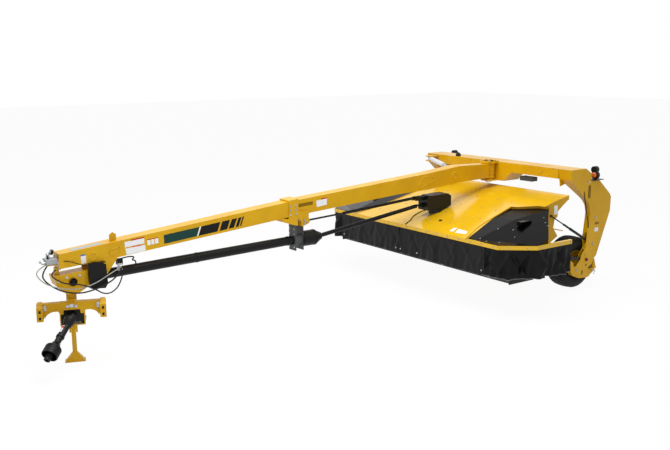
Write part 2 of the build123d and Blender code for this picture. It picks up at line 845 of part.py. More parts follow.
# Left end of the deck: a rail round the corner, and a flat sheet under the shield
with BuildPart() as deck_end:
    with BuildSketch(Plane.XY.offset(LIP_HEIGHT)):
        with BuildLine():
            Polyline(
                (DECK_HALF - 20, ahead(LIP_AHEAD)),
                (LIP_HALF, ahead(LIP_AHEAD)),
                (HEADER_HALF, ahead(CORNER_AHEAD)),
                (HEADER_HALF, ahead(RAIL_REAR)),
                (HEADER_HALF - SHEET, ahead(RAIL_REAR)),
                (HEADER_HALF - SHEET, ahead(CORNER_AHEAD - 2)),
                (LIP_HALF - 3, ahead(LIP_INNER)),
                (DECK_HALF - 20, ahead(LIP_INNER)),
                close=True,
            )
        make_face()
    extrude(amount=LIP_STRIP)
    with BuildSketch(Plane.XY.offset(LIP_TOP - SHEET)):
        with BuildLine():
            Polyline(
                (DECK_HALF - SHEET, ahead(LIP_INNER)),
                (LIP_HALF - 3, ahead(LIP_INNER)),
                (HEADER_HALF - SHEET, ahead(CORNER_AHEAD - 2)),
                (HEADER_HALF - SHEET, ahead(RAIL_REAR)),
                (HEADER_HALF - 40, ahead(RAIL_REAR)),
                (HEADER_HALF - 40, ahead(1160)),
                (DECK_HALF - SHEET, ahead(1160)),
                close=True,
            )
        make_face()
    extrude(amount=SHEET)

with BuildPart() as header_deck:
    side_plate(
        [
            (LIP_AHEAD, LIP_HEIGHT),
            (LIP_AHEAD, LIP_TOP),
            (SIDE_REAR, deck_top(SIDE_REAR)),
            (SIDE_REAR, deck_top(SIDE_REAR) - SHEET),
            (LIP_INNER, LIP_TOP - SHEET),
            (LIP_INNER, LIP_HEIGHT),
        ],
        -DECK_HALF,
        DECK_HALF,
    )
    for side in (-1, 1):
        edge = sorted((side * (DECK_HALF - SHEET), side * (DECK_HALF - 20)))
        side_plate(
            [(LIP_INNER, LIP_HEIGHT), (LIP_INNER, LIP_TOP), (1130, LIP_TOP), (1130, LIP_HEIGHT)],
            *edge,
        )
    hole = shield_hole(LIP_TOP + SEAT)
    add(hole, mode=Mode.SUBTRACT)
    mirror(hole, about=Plane.YZ, mode=Mode.SUBTRACT)
    add(deck_end.part)
    mirror(deck_end.part, about=Plane.YZ)
save(header_deck, "header_deck")

# Rear hood over the conditioner
HOOD_SHEET = 8
with BuildPart() as header_hood:
    side_plate(
        [
            (SIDE_REAR - SEAT, deck_top(SIDE_REAR - SEAT)),
            (HOOD_FOLD, deck_top(HOOD_FOLD)),
            (HOOD_REAR, HOOD_EDGE),
            (HOOD_REAR, HOOD_EDGE - 69),
            (HOOD_REAR + 5, HOOD_EDGE - 69),
            (HOOD_REAR + 5, HOOD_EDGE - HOOD_SHEET),
            (HOOD_FOLD, deck_top(HOOD_FOLD) - HOOD_SHEET),
            (SIDE_REAR - SHEET - SEAT, deck_top(SIDE_REAR - SHEET - SEAT) - HOOD_SHEET),
            (SIDE_REAR - SHEET - SEAT, LIP_HEIGHT + 160),
            (SIDE_REAR - SEAT, LIP_HEIGHT + 160),
        ],
        -WALL_OUTER,
        WALL_OUTER,
    )
    hood_hole = shield_hole(LIP_HEIGHT + 270)
    add(hood_hole, mode=Mode.SUBTRACT)
    mirror(hood_hole, about=Plane.YZ, mode=Mode.SUBTRACT)
save(header_hood, "header_hood")

# Rear cross tube that carries the walls of the conditioner
CROSS_TUBE = 110
TUBE_FRONT = 650
TUBE_LOW = LIP_HEIGHT + 48
WALL_INNER = WALL_OUTER - WALL_THICK
with BuildPart() as header_tube:
    block(
        (-WALL_INNER, ahead(TUBE_FRONT), TUBE_LOW),
        (WALL_INNER, ahead(TUBE_FRONT) + CROSS_TUBE, TUBE_LOW + CROSS_TUBE),
    )
save(header_tube, "header_tube")

BAR_HALF = (DISC_COUNT - 1) / 2 * DISC_PITCH + KNIFE_REACH + 16
with BuildPart() as conditioner_wall:
    side_plate(
        [
            (1130, LIP_HEIGHT - 332),
            (1130, LIP_TOP - SHEET - SEAT),
            (1080, LIP_TOP + 60),
            (480, LIP_TOP + 220),
            (480, deck_top(480) - HOOD_SHEET),
            (HOOD_FOLD, deck_top(HOOD_FOLD) - HOOD_SHEET),
            (HOOD_REAR + 5, HOOD_EDGE - HOOD_SHEET),
            (HOOD_REAR + 5, HOOD_EDGE - 60),
            (82, LIP_HEIGHT + 375),
            (190, LIP_HEIGHT + 300),
            (198, LIP_HEIGHT + 219),
            (259, LIP_HEIGHT + 183),
            (282, LIP_HEIGHT + 59),
            (179, LIP_HEIGHT - 71),
            (331, LIP_HEIGHT - 147),
            (410, LIP_HEIGHT - 350),
            (600, LIP_HEIGHT - 500),
            (760, LIP_HEIGHT - 500),
            (980, LIP_HEIGHT - 432),
        ],
        WALL_INNER,
        WALL_OUTER,
    )
    add(header_hood.part, mode=Mode.SUBTRACT)
    # Short bar out of the rear edge
    side_plate(
        [(300, LIP_HEIGHT + 62), (63, LIP_HEIGHT), (63, LIP_HEIGHT - 14), (300, LIP_HEIGHT + 44)],
        WALL_INNER,
        WALL_OUTER,
    )
    drum(
        (WALL_INNER, ahead(ROTOR_AHEAD), ROTOR_HEIGHT),
        (WALL_OUTER, ahead(ROTOR_AHEAD), ROTOR_HEIGHT),
        28 + FIT,
        mode=Mode.SUBTRACT,
    )
    drum(
        (WALL_OUTER, ahead(STRUT_HEAD[0]), STRUT_HEAD[1]),
        (STRUT_X - 11 - PIN_GAP, ahead(STRUT_HEAD[0]), STRUT_HEAD[1]),
        22,
    )
    for pin in (LOWER_LINK_PIN, UPPER_LINK_PIN):
        drum(
            (WALL_INNER, ahead(pin[0] + LINK_RUN), pin[1] + LINK_RISE),
            (LINK_X + LINK_THICK + 6, ahead(pin[0] + LINK_RUN), pin[1] + LINK_RISE),
            LINK_PIVOT_RADIUS,
        )

with BuildPart() as end_wall:
    side_plate(
        [
            (1600, BAR_BOTTOM),
            (1600, LIP_TOP - SHEET),
            (1170, LIP_TOP - SHEET),
            (1010, LIP_HEIGHT - 190),
            (1120, BAR_BOTTOM),
        ],
        BAR_HALF,
        BAR_HALF + 12,
    )
    add(conditioner_wall.part)
save_both(end_wall, "header_walls")

with BuildPart() as cutterbar:
    block(
        (-BAR_HALF, ahead(DISC_AHEAD + 110), BAR_BOTTOM),
        (BAR_HALF, ahead(DISC_AHEAD - 130), BAR_BOTTOM + BAR_THICK),
    )
save(cutterbar, "cutterbar")

BAR_TOP = BAR_BOTTOM + BAR_THICK
for index in range(DISC_COUNT):
    disc_x = (index - (DISC_COUNT - 1) / 2) * DISC_PITCH
    turn = 90 * (index % 2)
    with BuildPart() as disc:
        with BuildSketch(Plane.XY.offset(BAR_TOP + SEAT)):
            with Locations(Location((disc_x, ahead(DISC_AHEAD), 0), (0, 0, turn))):
                Ellipse(DISC_LONG, DISC_SHORT)
        extrude(amount=26)
        with BuildSketch(Plane.XY.offset(BAR_TOP + 10)):
            with Locations(Location((disc_x, ahead(DISC_AHEAD), 0), (0, 0, turn))):
                Rectangle(2 * KNIFE_REACH, 46)
        extrude(amount=5)
        with BuildSketch(Plane.XY.offset(BAR_TOP + 26)):
            with Locations((disc_x, ahead(DISC_AHEAD))):
                Circle(86)
        extrude(amount=34, taper=20)
    save(disc, f"disc_{index + 1}")

with BuildPart() as conditioner_rotor:
    drum((-ROTOR_HALF, ahead(ROTOR_AHEAD), ROTOR_HEIGHT), (ROTOR_HALF, ahead(ROTOR_AHEAD), ROTOR_HEIGHT), ROTOR_CORE)
    drum(
        (-WALL_OUTER, ahead(ROTOR_AHEAD), ROTOR_HEIGHT),
        (WALL_OUTER, ahead(ROTOR_AHEAD), ROTOR_HEIGHT),
        28,
    )
    for row in range(12):
        x = -ROTOR_HALF + 80 + row * (2 * ROTOR_HALF - 160) / 11
        with BuildSketch(Plane.YZ.offset(x - 6)):
            with Locations((ahead(ROTOR_AHEAD), ROTOR_HEIGHT)):
                with PolarLocations((ROTOR_CORE + ROTOR_REACH) / 2 - 5, 4, 45 * (row % 2)):
                    Rectangle(ROTOR_REACH - ROTOR_CORE + 10, 40)
        extrude(amount=12)
save(conditioner_rotor, "conditioner_rotor")

# Curtains round the header, under the lip
CURTAIN_TOP = LIP_HEIGHT - SEAT
with BuildPart() as curtain_front:
    block(
        (-LIP_HALF, ahead(LIP_AHEAD), CURTAIN_TOP - CURTAIN_DROP),
        (LIP_HALF, ahead(LIP_AHEAD - CURTAIN_THICK), CURTAIN_TOP),
    )
save(curtain_front, "curtain_front")

with BuildPart() as curtain_side:
    with BuildSketch(Plane.XY.offset(CURTAIN_TOP - CURTAIN_DROP)):
        with BuildLine():
            Polyline(
                (LIP_HALF + 1, ahead(LIP_AHEAD)),
                (HEADER_HALF, ahead(CORNER_AHEAD)),
                (HEADER_HALF, ahead(RAIL_REAR)),
                (HEADER_HALF - CURTAIN_THICK, ahead(RAIL_REAR)),
                (HEADER_HALF - CURTAIN_THICK, ahead(CORNER_AHEAD - 3)),
                (LIP_HALF + 1, ahead(LIP_AHEAD - 12)),
                close=True,
            )
        make_face()
    extrude(amount=CURTAIN_DROP)
save_pair(curtain_side, "curtain_side")

# Moulded end shields: folded skins over the drive ends, on flat floors
with BuildPart() as shield:
    add(shield_body(0))
    add(shield_body(SHIELD_SKIN), mode=Mode.SUBTRACT)
    with BuildSketch(Plane.XY.offset(LIP_TOP + SEAT)) as floor:
        with BuildLine():
            Polyline(*[(x, ahead(distance)) for x, distance in SHIELD_PLAN], close=True)
        make_face()
    extrude(floor.sketch, amount=SHEET)
    block((1000, ahead(1140), LIP_TOP), (1600, ahead(400), LIP_TOP + 7), mode=Mode.SUBTRACT)
    # Latch box on the outer flank
    block((1575, ahead(1150), LIP_TOP + 160), (1655, ahead(940), LIP_TOP + 214))
    block((900, ahead(2000), LIP_TOP - 200), (2400, ahead(300), LIP_TOP + SEAT), mode=Mode.SUBTRACT)
save_pair(shield, "shield")

# Links that hang the header on the portal
for name, pin in (("lower", LOWER_LINK_PIN), ("upper", UPPER_LINK_PIN)):
    link_rear = (ahead(pin[0]), pin[1])
    link_front = (ahead(pin[0] + LINK_RUN), pin[1] + LINK_RISE)
    with BuildPart() as link:
        with BuildSketch(Plane.YZ.offset(LINK_X)):
            with BuildLine() as link_line:
                Line(link_rear, link_front)
            trace(link_line.line, 46)
            with Locations(link_rear, link_front):
                Circle(LINK_EYE)
                Circle(LINK_PIVOT_RADIUS + FIT, mode=Mode.SUBTRACT)
        extrude(amount=LINK_THICK)
    save_both(link, f"{name}_links")

# Float struts between the legs and the header
with BuildPart() as strut_barrel:
    drum(strut_from, strut_from + strut_way * 60, 11)
    drum(strut_from + strut_way * 60, strut_step, 20)
    drum(strut_step, strut_gland, 15)
    drum((STRUT_X - 12, strut_from.Y, strut_from.Z), (STRUT_X + 12, strut_from.Y, strut_from.Z), 19)
    drum(
        (strut_gland - strut_way * 345),
        strut_gland,
        9 + FIT,
        mode=Mode.SUBTRACT,
    )
    drum(
        (STRUT_X - 20, strut_from.Y, strut_from.Z),
        (STRUT_X + 20, strut_from.Y, strut_from.Z),
        8 + FIT,
        mode=Mode.SUBTRACT,
    )
save_pair(strut_barrel, "strut_barrel")

with BuildPart() as strut_rod:
    drum((strut_gland - strut_way * 60), (strut_to - strut_way * 14), 9)
    drum((STRUT_X - 11, strut_to.Y, strut_to.Z), (STRUT_X + 11, strut_to.Y, strut_to.Z), 18)
save_pair(strut_rod, "strut_rod")

# Swivel gearbox on the deck: fixed foot, turning head
head_joint = Vector(0, ahead(HEAD_JOINT[0]), HEAD_JOINT[1])
shaft_end = Vector(0, ahead(CONE_END - SHAFT_GAP), BEARING_HEIGHT + 11)
shaft_way = (shaft_end - head_joint).normalized()
with BuildPart() as gearbox_foot:
    drum((0, ahead(HEAD_AHEAD), HEAD_BASE - 90), (0, ahead(HEAD_AHEAD), HEAD_BASE), 110)
    side_plate(
        [
            (HEAD_AHEAD + 200, 900),
            (HEAD_AHEAD + 200, deck_top(HEAD_AHEAD + 200)),
            (HEAD_AHEAD - 200, deck_top(HEAD_AHEAD - 200)),
            (HEAD_AHEAD - 200, 900),
        ],
        -200,
        200,
        mode=Mode.SUBTRACT,
    )
save(gearbox_foot, "gearbox_foot")

with BuildPart() as gearbox_head:
    side_plate(
        [
            (1480, HEAD_BASE + 10),
            (1110, HEAD_BASE + 10),
            (1000, HEAD_BASE + 48),
            (1000, HEAD_BASE + 190),
            (1060, HEAD_BASE + 232),
            (1400, HEAD_BASE + 226),
            (1480, HEAD_BASE + 180),
        ],
        -105,
        105,
    )
    drum((0, ahead(HEAD_AHEAD), HEAD_BASE + SEAT), (0, ahead(HEAD_AHEAD), HEAD_BASE + 10), 96)
    drum((0, ahead(1480), HEAD_JOINT[1]), (0, ahead(HEAD_JOINT[0] - 40), HEAD_JOINT[1]), 36)
    drum((0, ahead(1480), HEAD_JOINT[1]), head_joint, 15)
    joint_pin(head_joint, Vector(1, 0, 0))
    drum((-40, ahead(GUIDE_REAR[0]), GUIDE_REAR[1]), (40, ahead(GUIDE_REAR[0]), GUIDE_REAR[1]), 10)
    for side in (-1, 1):
        edge = sorted((side * 40, side * 28))
        block((edge[0], ahead(1660), GUIDE_REAR[1] - 43), (edge[1], ahead(1400), GUIDE_REAR[1] + 18))
save(gearbox_head, "gearbox_head")

with BuildPart() as header_shaft:
    drum(head_joint + shaft_way * 38, shaft_end, SHAFT_RADIUS)
    joint_fork(head_joint, shaft_way, Vector(1, 0, 0))
save(header_shaft, "header_shaft")

with BuildPart() as guide_rod:
    drum((0, ahead(GUIDE_REAR[0]), GUIDE_REAR[1]), (0, ahead(GUIDE_STEP[0]), GUIDE_STEP[1]), 22)
    drum((0, ahead(GUIDE_STEP[0]), GUIDE_STEP[1]), (0, ahead(GUIDE_FRONT[0]), GUIDE_FRONT[1]), 13)
    drum((-27, ahead(GUIDE_REAR[0]), GUIDE_REAR[1]), (27, ahead(GUIDE_REAR[0]), GUIDE_REAR[1]), 24)
    drum(
        (-27, ahead(GUIDE_REAR[0]), GUIDE_REAR[1]),
        (27, ahead(GUIDE_REAR[0]), GUIDE_REAR[1]),
        10 + FIT,
        mode=Mode.SUBTRACT,
    )
save(guide_rod, "guide_rod")

# Lamps on the shelves of the legs: a round work lamp, and an amber lamp facing ahead
SHELF_HEIGHT = BEAM_TOP - 187
with BuildPart() as lamp:
    block((1440, ahead(-480), SHELF_HEIGHT), (1600, ahead(-700), SHELF_HEIGHT + 8))
    add(leg.part, mode=Mode.SUBTRACT)
    drum((1540, ahead(-575), SHELF_HEIGHT), (1540, ahead(-575), SHELF_HEIGHT + 40), 16)
    drum((1540, ahead(-545), SHELF_HEIGHT + 72), (1540, ahead(-600), SHELF_HEIGHT + 72), 60)
    drum((1540, ahead(-538), SHELF_HEIGHT + 72), (1540, ahead(-545), SHELF_HEIGHT + 72), 50)
    drum((1505, ahead(-600), SHELF_HEIGHT + 60), (1505, ahead(-600), SHELF_HEIGHT + 168), 14)
    drum((1505, ahead(-570), SHELF_HEIGHT + 150), (1505, ahead(-640), SHELF_HEIGHT + 150), 50)
save_both(lamp, "lamps")

# Fittings at the nose of the tongue
with BuildPart() as valve_block:
    block((-70, ahead(7150), 1190), (70, ahead(6980), 1250))
    add(tongue_front.part, mode=Mode.SUBTRACT)
save(valve_block, "valve_block")

with BuildPart() as manual_box:
    side_plate(
        [(6705, 1138), (6650, 1166), (6600, 1166), (6500, 1130), (6486, 900), (6520, 848), (6690, 866)],
        TONGUE_HALF + 4 + SEAT,
        TONGUE_HALF + 62,
    )
save(manual_box, "manual_box")
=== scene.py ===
import math

import bmesh
import bpy
import numpy as np
from mathutils import Matrix, Vector


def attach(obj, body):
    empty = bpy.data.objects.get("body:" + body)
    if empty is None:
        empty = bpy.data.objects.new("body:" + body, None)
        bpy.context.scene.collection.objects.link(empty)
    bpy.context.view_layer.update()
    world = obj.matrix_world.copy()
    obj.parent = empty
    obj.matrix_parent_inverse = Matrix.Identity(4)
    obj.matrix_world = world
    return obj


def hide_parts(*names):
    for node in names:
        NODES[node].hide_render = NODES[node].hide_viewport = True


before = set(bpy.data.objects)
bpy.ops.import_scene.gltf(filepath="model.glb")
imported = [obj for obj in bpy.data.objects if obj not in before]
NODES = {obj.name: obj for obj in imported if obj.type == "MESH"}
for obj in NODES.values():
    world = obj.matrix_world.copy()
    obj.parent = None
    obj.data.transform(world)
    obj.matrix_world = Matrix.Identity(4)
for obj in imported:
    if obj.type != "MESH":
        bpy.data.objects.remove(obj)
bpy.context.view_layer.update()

bl_info = {
    "name": "Mower Conditioner Looks",
    "version": (1, 0, 0),
    "blender": (4, 2, 0),
    "location": "View3D > Sidebar > Mower Conditioner",
    "description": "Builds the finish, cloth, hoses and small parts of a trailed mower conditioner",
    "category": "Object",
}

# Where the portal beam's front face lies along Y, in metres: distances ahead are measured from it.
# The swivel hitch stands at SWIVEL, in metres, turned about the upright.
PORTAL_BACK = 3.190
SWIVEL = (0.0, PORTAL_BACK - 6.873)
SWIVEL_TURN = math.radians(70)

# Materials: one small function adds a node, and every pattern is sized in mm by Object coordinates.


def linear(code):
    """A hex sRGB colour as linear RGBA."""
    parts = [int(code[i : i + 2], 16) / 255 for i in (1, 3, 5)]
    return tuple(c / 12.92 if c <= 0.04045 else ((c + 0.055) / 1.055) ** 2.4 for c in parts) + (1.0,)


def tint(value):
    """Linear RGBA of a hex sRGB code, or of a colour setting, which is linear already."""
    return linear(value) if isinstance(value, str) else tuple(value)


def add(tree, kind, links=(), **values):
    """A node of that kind, with its settings and input values, and (socket, output) links into it."""
    made = tree.nodes.new(kind)
    for key, value in values.items():
        if hasattr(made, key):
            setattr(made, key, value)
        else:
            made.inputs[key.replace("_", " ")].default_value = value
    for socket, source in links:
        tree.links.new(source, made.inputs[socket])
    return made


def material(name):
    """An empty material with its output, and the Object coordinates in mm."""
    made = bpy.data.materials.new(name)
    made.use_nodes = True
    tree = made.node_tree
    tree.nodes.clear()
    coordinates = add(tree, "ShaderNodeTexCoord")
    scaled = add(tree, "ShaderNodeVectorMath", [(0, coordinates.outputs["Object"])], operation="SCALE")
    scaled.inputs["Scale"].default_value = 1000
    return made, tree, scaled.outputs[0]


def noise(tree, place, size, detail):
    """Noise whose lumps are about that many mm across."""
    return add(
        tree, "ShaderNodeTexNoise", [("Vector", place)], Scale=1 / size, Detail=detail, Roughness=0.5
    ).outputs["Fac"]


def ramp(tree, factor, low, high, first, last):
    """A value that goes from first to last as factor goes from low to high."""
    return add(
        tree, "ShaderNodeMapRange", [("Value", factor)],
        From_Min=low, From_Max=high, To_Min=first, To_Max=last,
    ).outputs["Result"]


def mix(tree, factor, first, second):
    """A colour between two; each may be a colour or an output."""
    made = add(tree, "ShaderNodeMix", data_type="RGBA")
    for socket, value in ((0, factor), (6, first), (7, second)):
        if isinstance(value, bpy.types.NodeSocket):
            tree.links.new(value, made.inputs[socket])
        else:
            made.inputs[socket].default_value = value
    return made.outputs[2]


def bump(tree, height, distance):
    """A bump normal of a height in 0..1 that stands for that many mm."""
    return add(
        tree, "ShaderNodeBump", [("Height", height)], Strength=1.0, Distance=distance / 1000
    ).outputs["Normal"]


def close(made, tree, **inputs):
    """Join the inputs to a principled shader and the output."""
    shader = add(tree, "ShaderNodeBsdfPrincipled")
    for key, value in inputs.items():
        socket = shader.inputs[key.replace("_", " ")]
        if isinstance(value, bpy.types.NodeSocket):
            tree.links.new(value, socket)
        else:
            socket.default_value = value
    add(tree, "ShaderNodeOutputMaterial", [("Surface", shader.outputs[0])])
    return made


def paint(name, code, shade, rough, gloss=0.2, peel=0.02, dark_below=None):
    """Sprayed enamel on steel: a slightly uneven colour, orange-peel gloss, and a colour that darkens to near
    black below a height in mm.
    """
    made, tree, place = material(name)
    cloud = noise(tree, place, 420, 4)
    fleck = noise(tree, place, 2.2, 2)
    colour = mix(tree, ramp(tree, cloud, 0.35, 0.7, 0, 1), tint(code), linear(shade))
    # Darker towards the bottom: below the given heights the colour fades to near black
    if dark_below:
        height = add(tree, "ShaderNodeSeparateXYZ", [("Vector", place)]).outputs["Z"]
        colour = mix(tree, ramp(tree, height, *dark_below, 1, 0), colour, linear("#15120C"))
    return close(
        made, tree, Base_Color=colour, Roughness=ramp(tree, cloud, 0.3, 0.7, rough, rough + 0.08),
        Specular_IOR_Level=gloss, Normal=bump(tree, fleck, peel),
    )


def plastic(name, code, rough, grain=0.06, shade="#1E1E1F", gloss=0.2):
    """Moulded plastic: an even colour with a fine leather grain."""
    made, tree, place = material(name)
    pores = noise(tree, place, 1.6, 3)
    wear = noise(tree, place, 160, 4)
    colour = mix(tree, ramp(tree, wear, 0.4, 0.75, 0, 0.25), tint(code), linear(shade))
    return close(
        made, tree, Base_Color=colour, Roughness=ramp(tree, wear, 0.3, 0.7, rough, rough + 0.12),
        Specular_IOR_Level=gloss, Normal=bump(tree, pores, grain),
    )


def steel(name, code, rough, drawn=30):
    """Bare machined or plated steel: fine scratches and a slightly mottled gloss."""
    made, tree, place = material(name)
    scratch = noise(tree, place, 0.9, 2)
    mottle = noise(tree, place, drawn, 4)
    colour = mix(tree, ramp(tree, mottle, 0.35, 0.7, 0, 1), tint(code), linear("#8C8D8E"))
    return close(
        made, tree, Base_Color=colour, Metallic=1.0,
        Roughness=ramp(tree, mottle, 0.3, 0.7, rough, rough + 0.15), Normal=bump(tree, scratch, 0.01),
    )


def cloth(name, code, shade):
    """Rubber-coated curtain cloth: a woven grain under a matt coat, dusty in broad random patches."""
    made, tree, place = material(name)
    weave = add(
        tree, "ShaderNodeTexWave", [("Vector", place)], Scale=0.35, Distortion=1.0, bands_direction="Z"
    )
    dust = noise(tree, place, 240, 5)
    colour = mix(tree, ramp(tree, dust, 0.35, 0.75, 0, 1), tint(code), linear(shade))
    return close(
        made, tree, Base_Color=colour, Roughness=ramp(tree, dust, 0.3, 0.7, 0.42, 0.62),
        Specular_IOR_Level=0.15, Normal=bump(tree, weave.outputs["Fac"], 0.12),
    )


FINISHES = {}


def finishes(tints):
    """All materials, made once, the main ones in the user's colours. A comment names each real material."""
    FINISHES.update(
        # Yellow two-pack enamel on plate and box section, even and slightly warm
        yellow=paint("yellow_enamel", tints.yellow, "#CB9A0A", 0.24, 0.2),
        # The same enamel on the header's pressed sheets, which are the glossiest
        yellow_sheet=paint("yellow_enamel_sheet", tints.yellow_sheet, "#D6A812", 0.1, 0.45),
        # The same enamel on castings and small fabrications, less flat
        yellow_rough=paint("yellow_enamel_castings", tints.yellow_rough, "#BE8E0E", 0.36, 0.15, 0.08),
        # The walls of the header, darker towards the cutterbar: near black below 500 mm, fading out by 640 mm
        yellow_low=paint("yellow_enamel_low", "#D2A014", "#BF900F", 0.3, 0.2, dark_below=(500, 640)),
        # The same enamel darkened as painted shade, for parts in shadow
        yellow_dark=paint("yellow_enamel_shade", "#8F6A0C", "#7C5B0A", 0.45, 0.1),
        # Black enamel on castings and forgings
        black=paint("black_enamel", tints.black, "#111112", 0.3, 0.25, 0.05),
        # Grey enamel on the cutterbar and the rotor
        grey=paint("grey_enamel", tints.grey, "#424445", 0.4, 0.2, 0.08),
        # Polyethylene of guards and tubes
        guard=plastic("black_polyethylene", tints.guard, 0.36, 0.06, "#101011", 0.2),
        # Glossy moulded end shields
        shield=plastic("black_gloss_moulding", tints.shield, 0.1, 0.012, "#050506", 0.05),
        # Zinc-plated and ground steel
        steel=steel("zinc_plated_steel", "#C9CBCC", 0.28),
        # Chromed cylinder rods
        chrome=steel("hard_chrome", "#E4E5E6", 0.1, 60),
        # Silver enamel on the cylinder barrel
        silver=paint("silver_enamel", tints.silver, "#C6C9CB", 0.2, 0.4),
        # Rubber-coated polyester curtain
        curtain=cloth("curtain_cloth", tints.curtain, "#202020"),
        # The same cloth on the corners, darker as painted shade where the sides face away from the light
        curtain_corner=cloth("curtain_cloth_painted_shade", tints.curtain_corner, "#101011"),
        # Anti-slip strip on top of the tongue, and the pale valve block on its nose
        strip=plastic("grip_strip", "#A9ADB0", 0.6, 0.12, "#8D9194"),
        # The undyed edge of the same cloth
        hem=cloth("curtain_cut_edge", "#8D8D8A", "#6F6F6C"),
        # Tyre tread and wall rubber
        tyre=plastic("tyre_rubber", tints.tyre, 0.6, 0.2),
        # Hose rubber, and the pale braid cover of the brake line
        hose=plastic("hose_rubber", "#0D0D0D", 0.4, 0.1, "#1A1A1A"),
        braid=plastic("braided_hose_cover", "#A39F97", 0.5, 0.3, "#77736B"),
        # Printed vinyl of the plates and stripes; the black vinyl also stands as painted shade in holes
        white=plastic("white_vinyl", "#E8EAEC", 0.3, 0.01, "#DDE0E3"),
        red=plastic("red_vinyl", "#B5281C", 0.3, 0.01, "#A02015"),
        orange=plastic("orange_vinyl", "#DB6A1E", 0.3, 0.01, "#C95F18"),
        blue=plastic("blue_vinyl", "#1F6FB0", 0.3, 0.01, "#1A5F98"),
        green=plastic("green_vinyl", tints.green, 0.25, 0.01, "#0C322C"),
        ink=plastic("black_vinyl", "#08080A", 0.25, 0.01, "#0E0E10"),
        # Amber and clear polycarbonate lenses
        amber=plastic("amber_lens", "#C4600F", 0.1, 0.02, "#A84E0A", 0.4),
        clear=plastic("clear_lens", "#AEB4B8", 0.08, 0.02, "#8E959A"),
        # Purple-red plastic cap of the link pins
        purple=plastic("purple_red_plastic", "#6E1238", 0.3, 0.03, "#5A0E2E"),
    )


# The CAD nodes of each finish
CAD_FINISH = {
    "yellow": (
        "portal_beam", "portal_leg_left", "portal_leg_right", "king_pin", "tongue_rear", "tongue_front",
        "tongue_splice", "header_tube", "wheel_rim_left", "wheel_rim_right", "upper_gearbox",
    ),
    "yellow_sheet": ("header_deck", "header_hood"),
    "yellow_low": ("header_walls",),
    "yellow_rough": ("hitch_crossbar", "hitch_frame", "stand_leg"),
    "black": (
        "gearbox_foot", "gearbox_head", "guide_rod", "strut_barrel_left", "strut_barrel_right",
        "strut_rod_left", "strut_rod_right", "lower_links", "upper_links", "lower_gearbox",
    ),
    "grey": ("bearing_hanger", "cutterbar", "conditioner_rotor"),
    "guard": ("drive_tube", "middle_bearing", "manual_box", "pto_shaft", "header_shaft", "lamps"),
    "shield": ("shield_left", "shield_right"),
    "silver": ("swing_barrel",),
    "strip": ("valve_block",),
    "steel": tuple(f"disc_{n}" for n in range(1, 9)),
    "chrome": ("swing_rod",),
    "curtain": ("curtain_front", "curtain_side_left", "curtain_side_right"),
    "tyre": ("tyre_left", "tyre_right"),
}


def paint_nodes():
    """Give every CAD node its finish."""
    for finish, names in CAD_FINISH.items():
        for name in names:
            data = NODES[name].data
            data.materials.clear()
            data.materials.append(FINISHES[finish])


# Surfaces. Sizes and places are in mm: across the machine, ahead of the portal beam, above the ground.
LEFT, AHEAD, UP = np.array((1.0, 0, 0)), np.array((0, -1.0, 0)), np.array((0, 0, 1.0))
SIDES = ((1, "left"), (-1, "right"))


def mm(value):
    """A size setting, which is in metres, as mm to the nearest micrometre."""
    return round(value * 1000, 3)


def spot(across, ahead, height):
    """A point in metres, or an array of them, from its mm across, ahead and above the ground."""
    return np.stack(
        np.broadcast_arrays(
            np.asarray(across, float) / 1000,
            PORTAL_BACK - np.asarray(ahead, float) / 1000,
            np.asarray(height, float) / 1000,
        ),
        -1,
    )


def square_to(way):
    """The unit direction along the way, and two more square to it."""
    way = np.asarray(way, float) / np.linalg.norm(way)
    side = np.cross(way, UP if abs(way[2]) < 0.9 else LEFT)
    side /= np.linalg.norm(side)
    return way, side, np.cross(way, side)


def turned(start, way, profile, sides=24):
    """A profile of (distance, radius) rows in mm turned about the way: start + d way + r (cos a, sin a)."""
    way, side, up = square_to(way)
    distance, radius = np.array(profile, float).T / 1000
    angle = np.linspace(0, 2 * math.pi, sides + 1)
    around = np.cos(angle)[:, None] * side + np.sin(angle)[:, None] * up
    return np.asarray(start) + distance[:, None, None] * way + radius[:, None, None] * around[None]


def rod(radius, end, start=0):
    """The profile of a plain round bar between two distances."""
    return [(start, 0), (start, radius), (end, radius), (end, 0)]


def ring(inner, outer, flat, full):
    """The profile of a ring of that full length, which is chamfered after the flat."""
    return [(0, inner), (0, outer), (flat, outer), (full, inner), (0, inner)]


def slab(centre, across, up, width, height, thick, corner=6):
    """A round-cornered plate: the outline of a rounded rectangle at scales 0, 1, 1, 0.985 and 0, and at
    depths 0, 0, 0.8 t, t and t."""
    normal = np.cross(across, up)
    angle = np.linspace(0, 2 * math.pi, 33) + math.pi / 32
    inner = np.array((width / 2 - corner, height / 2 - corner))
    turn = np.stack((np.cos(angle), np.sin(angle)), -1)
    outline = (np.sign(turn) * inner + turn * corner) / 1000
    flat = outline[:, :1] * np.asarray(across) + outline[:, 1:] * np.asarray(up)
    scale = np.array((0, 1, 1, 0.985, 0))[:, None, None]
    depth = np.array((0, 0, 0.8, 1, 1))[:, None, None] * thick / 1000
    return np.asarray(centre) + scale * flat[None] + depth * normal


def panel(corners, out, thick):
    """A flat convex plate from its corners: middle, corners, raised corners and raised middle."""
    corners = np.asarray(corners, float)
    outline = np.concatenate((corners, corners[:1]))
    middle = np.broadcast_to(corners.mean(0), outline.shape)
    rise = np.asarray(out, float) * thick / 1000
    return np.stack((middle, outline, outline + rise, middle + rise))


def eased(path, rounds=3):
    """The path with its corners cut: each round puts points at a quarter and three quarters of every side."""
    path = np.asarray(path, float)
    for _ in range(rounds):
        cut = np.stack((path[:-1] * 0.75 + path[1:] * 0.25, path[:-1] * 0.25 + path[1:] * 0.75), 1)
        path = np.concatenate((path[:1], cut.reshape(-1, 3), path[-1:]))
    return path


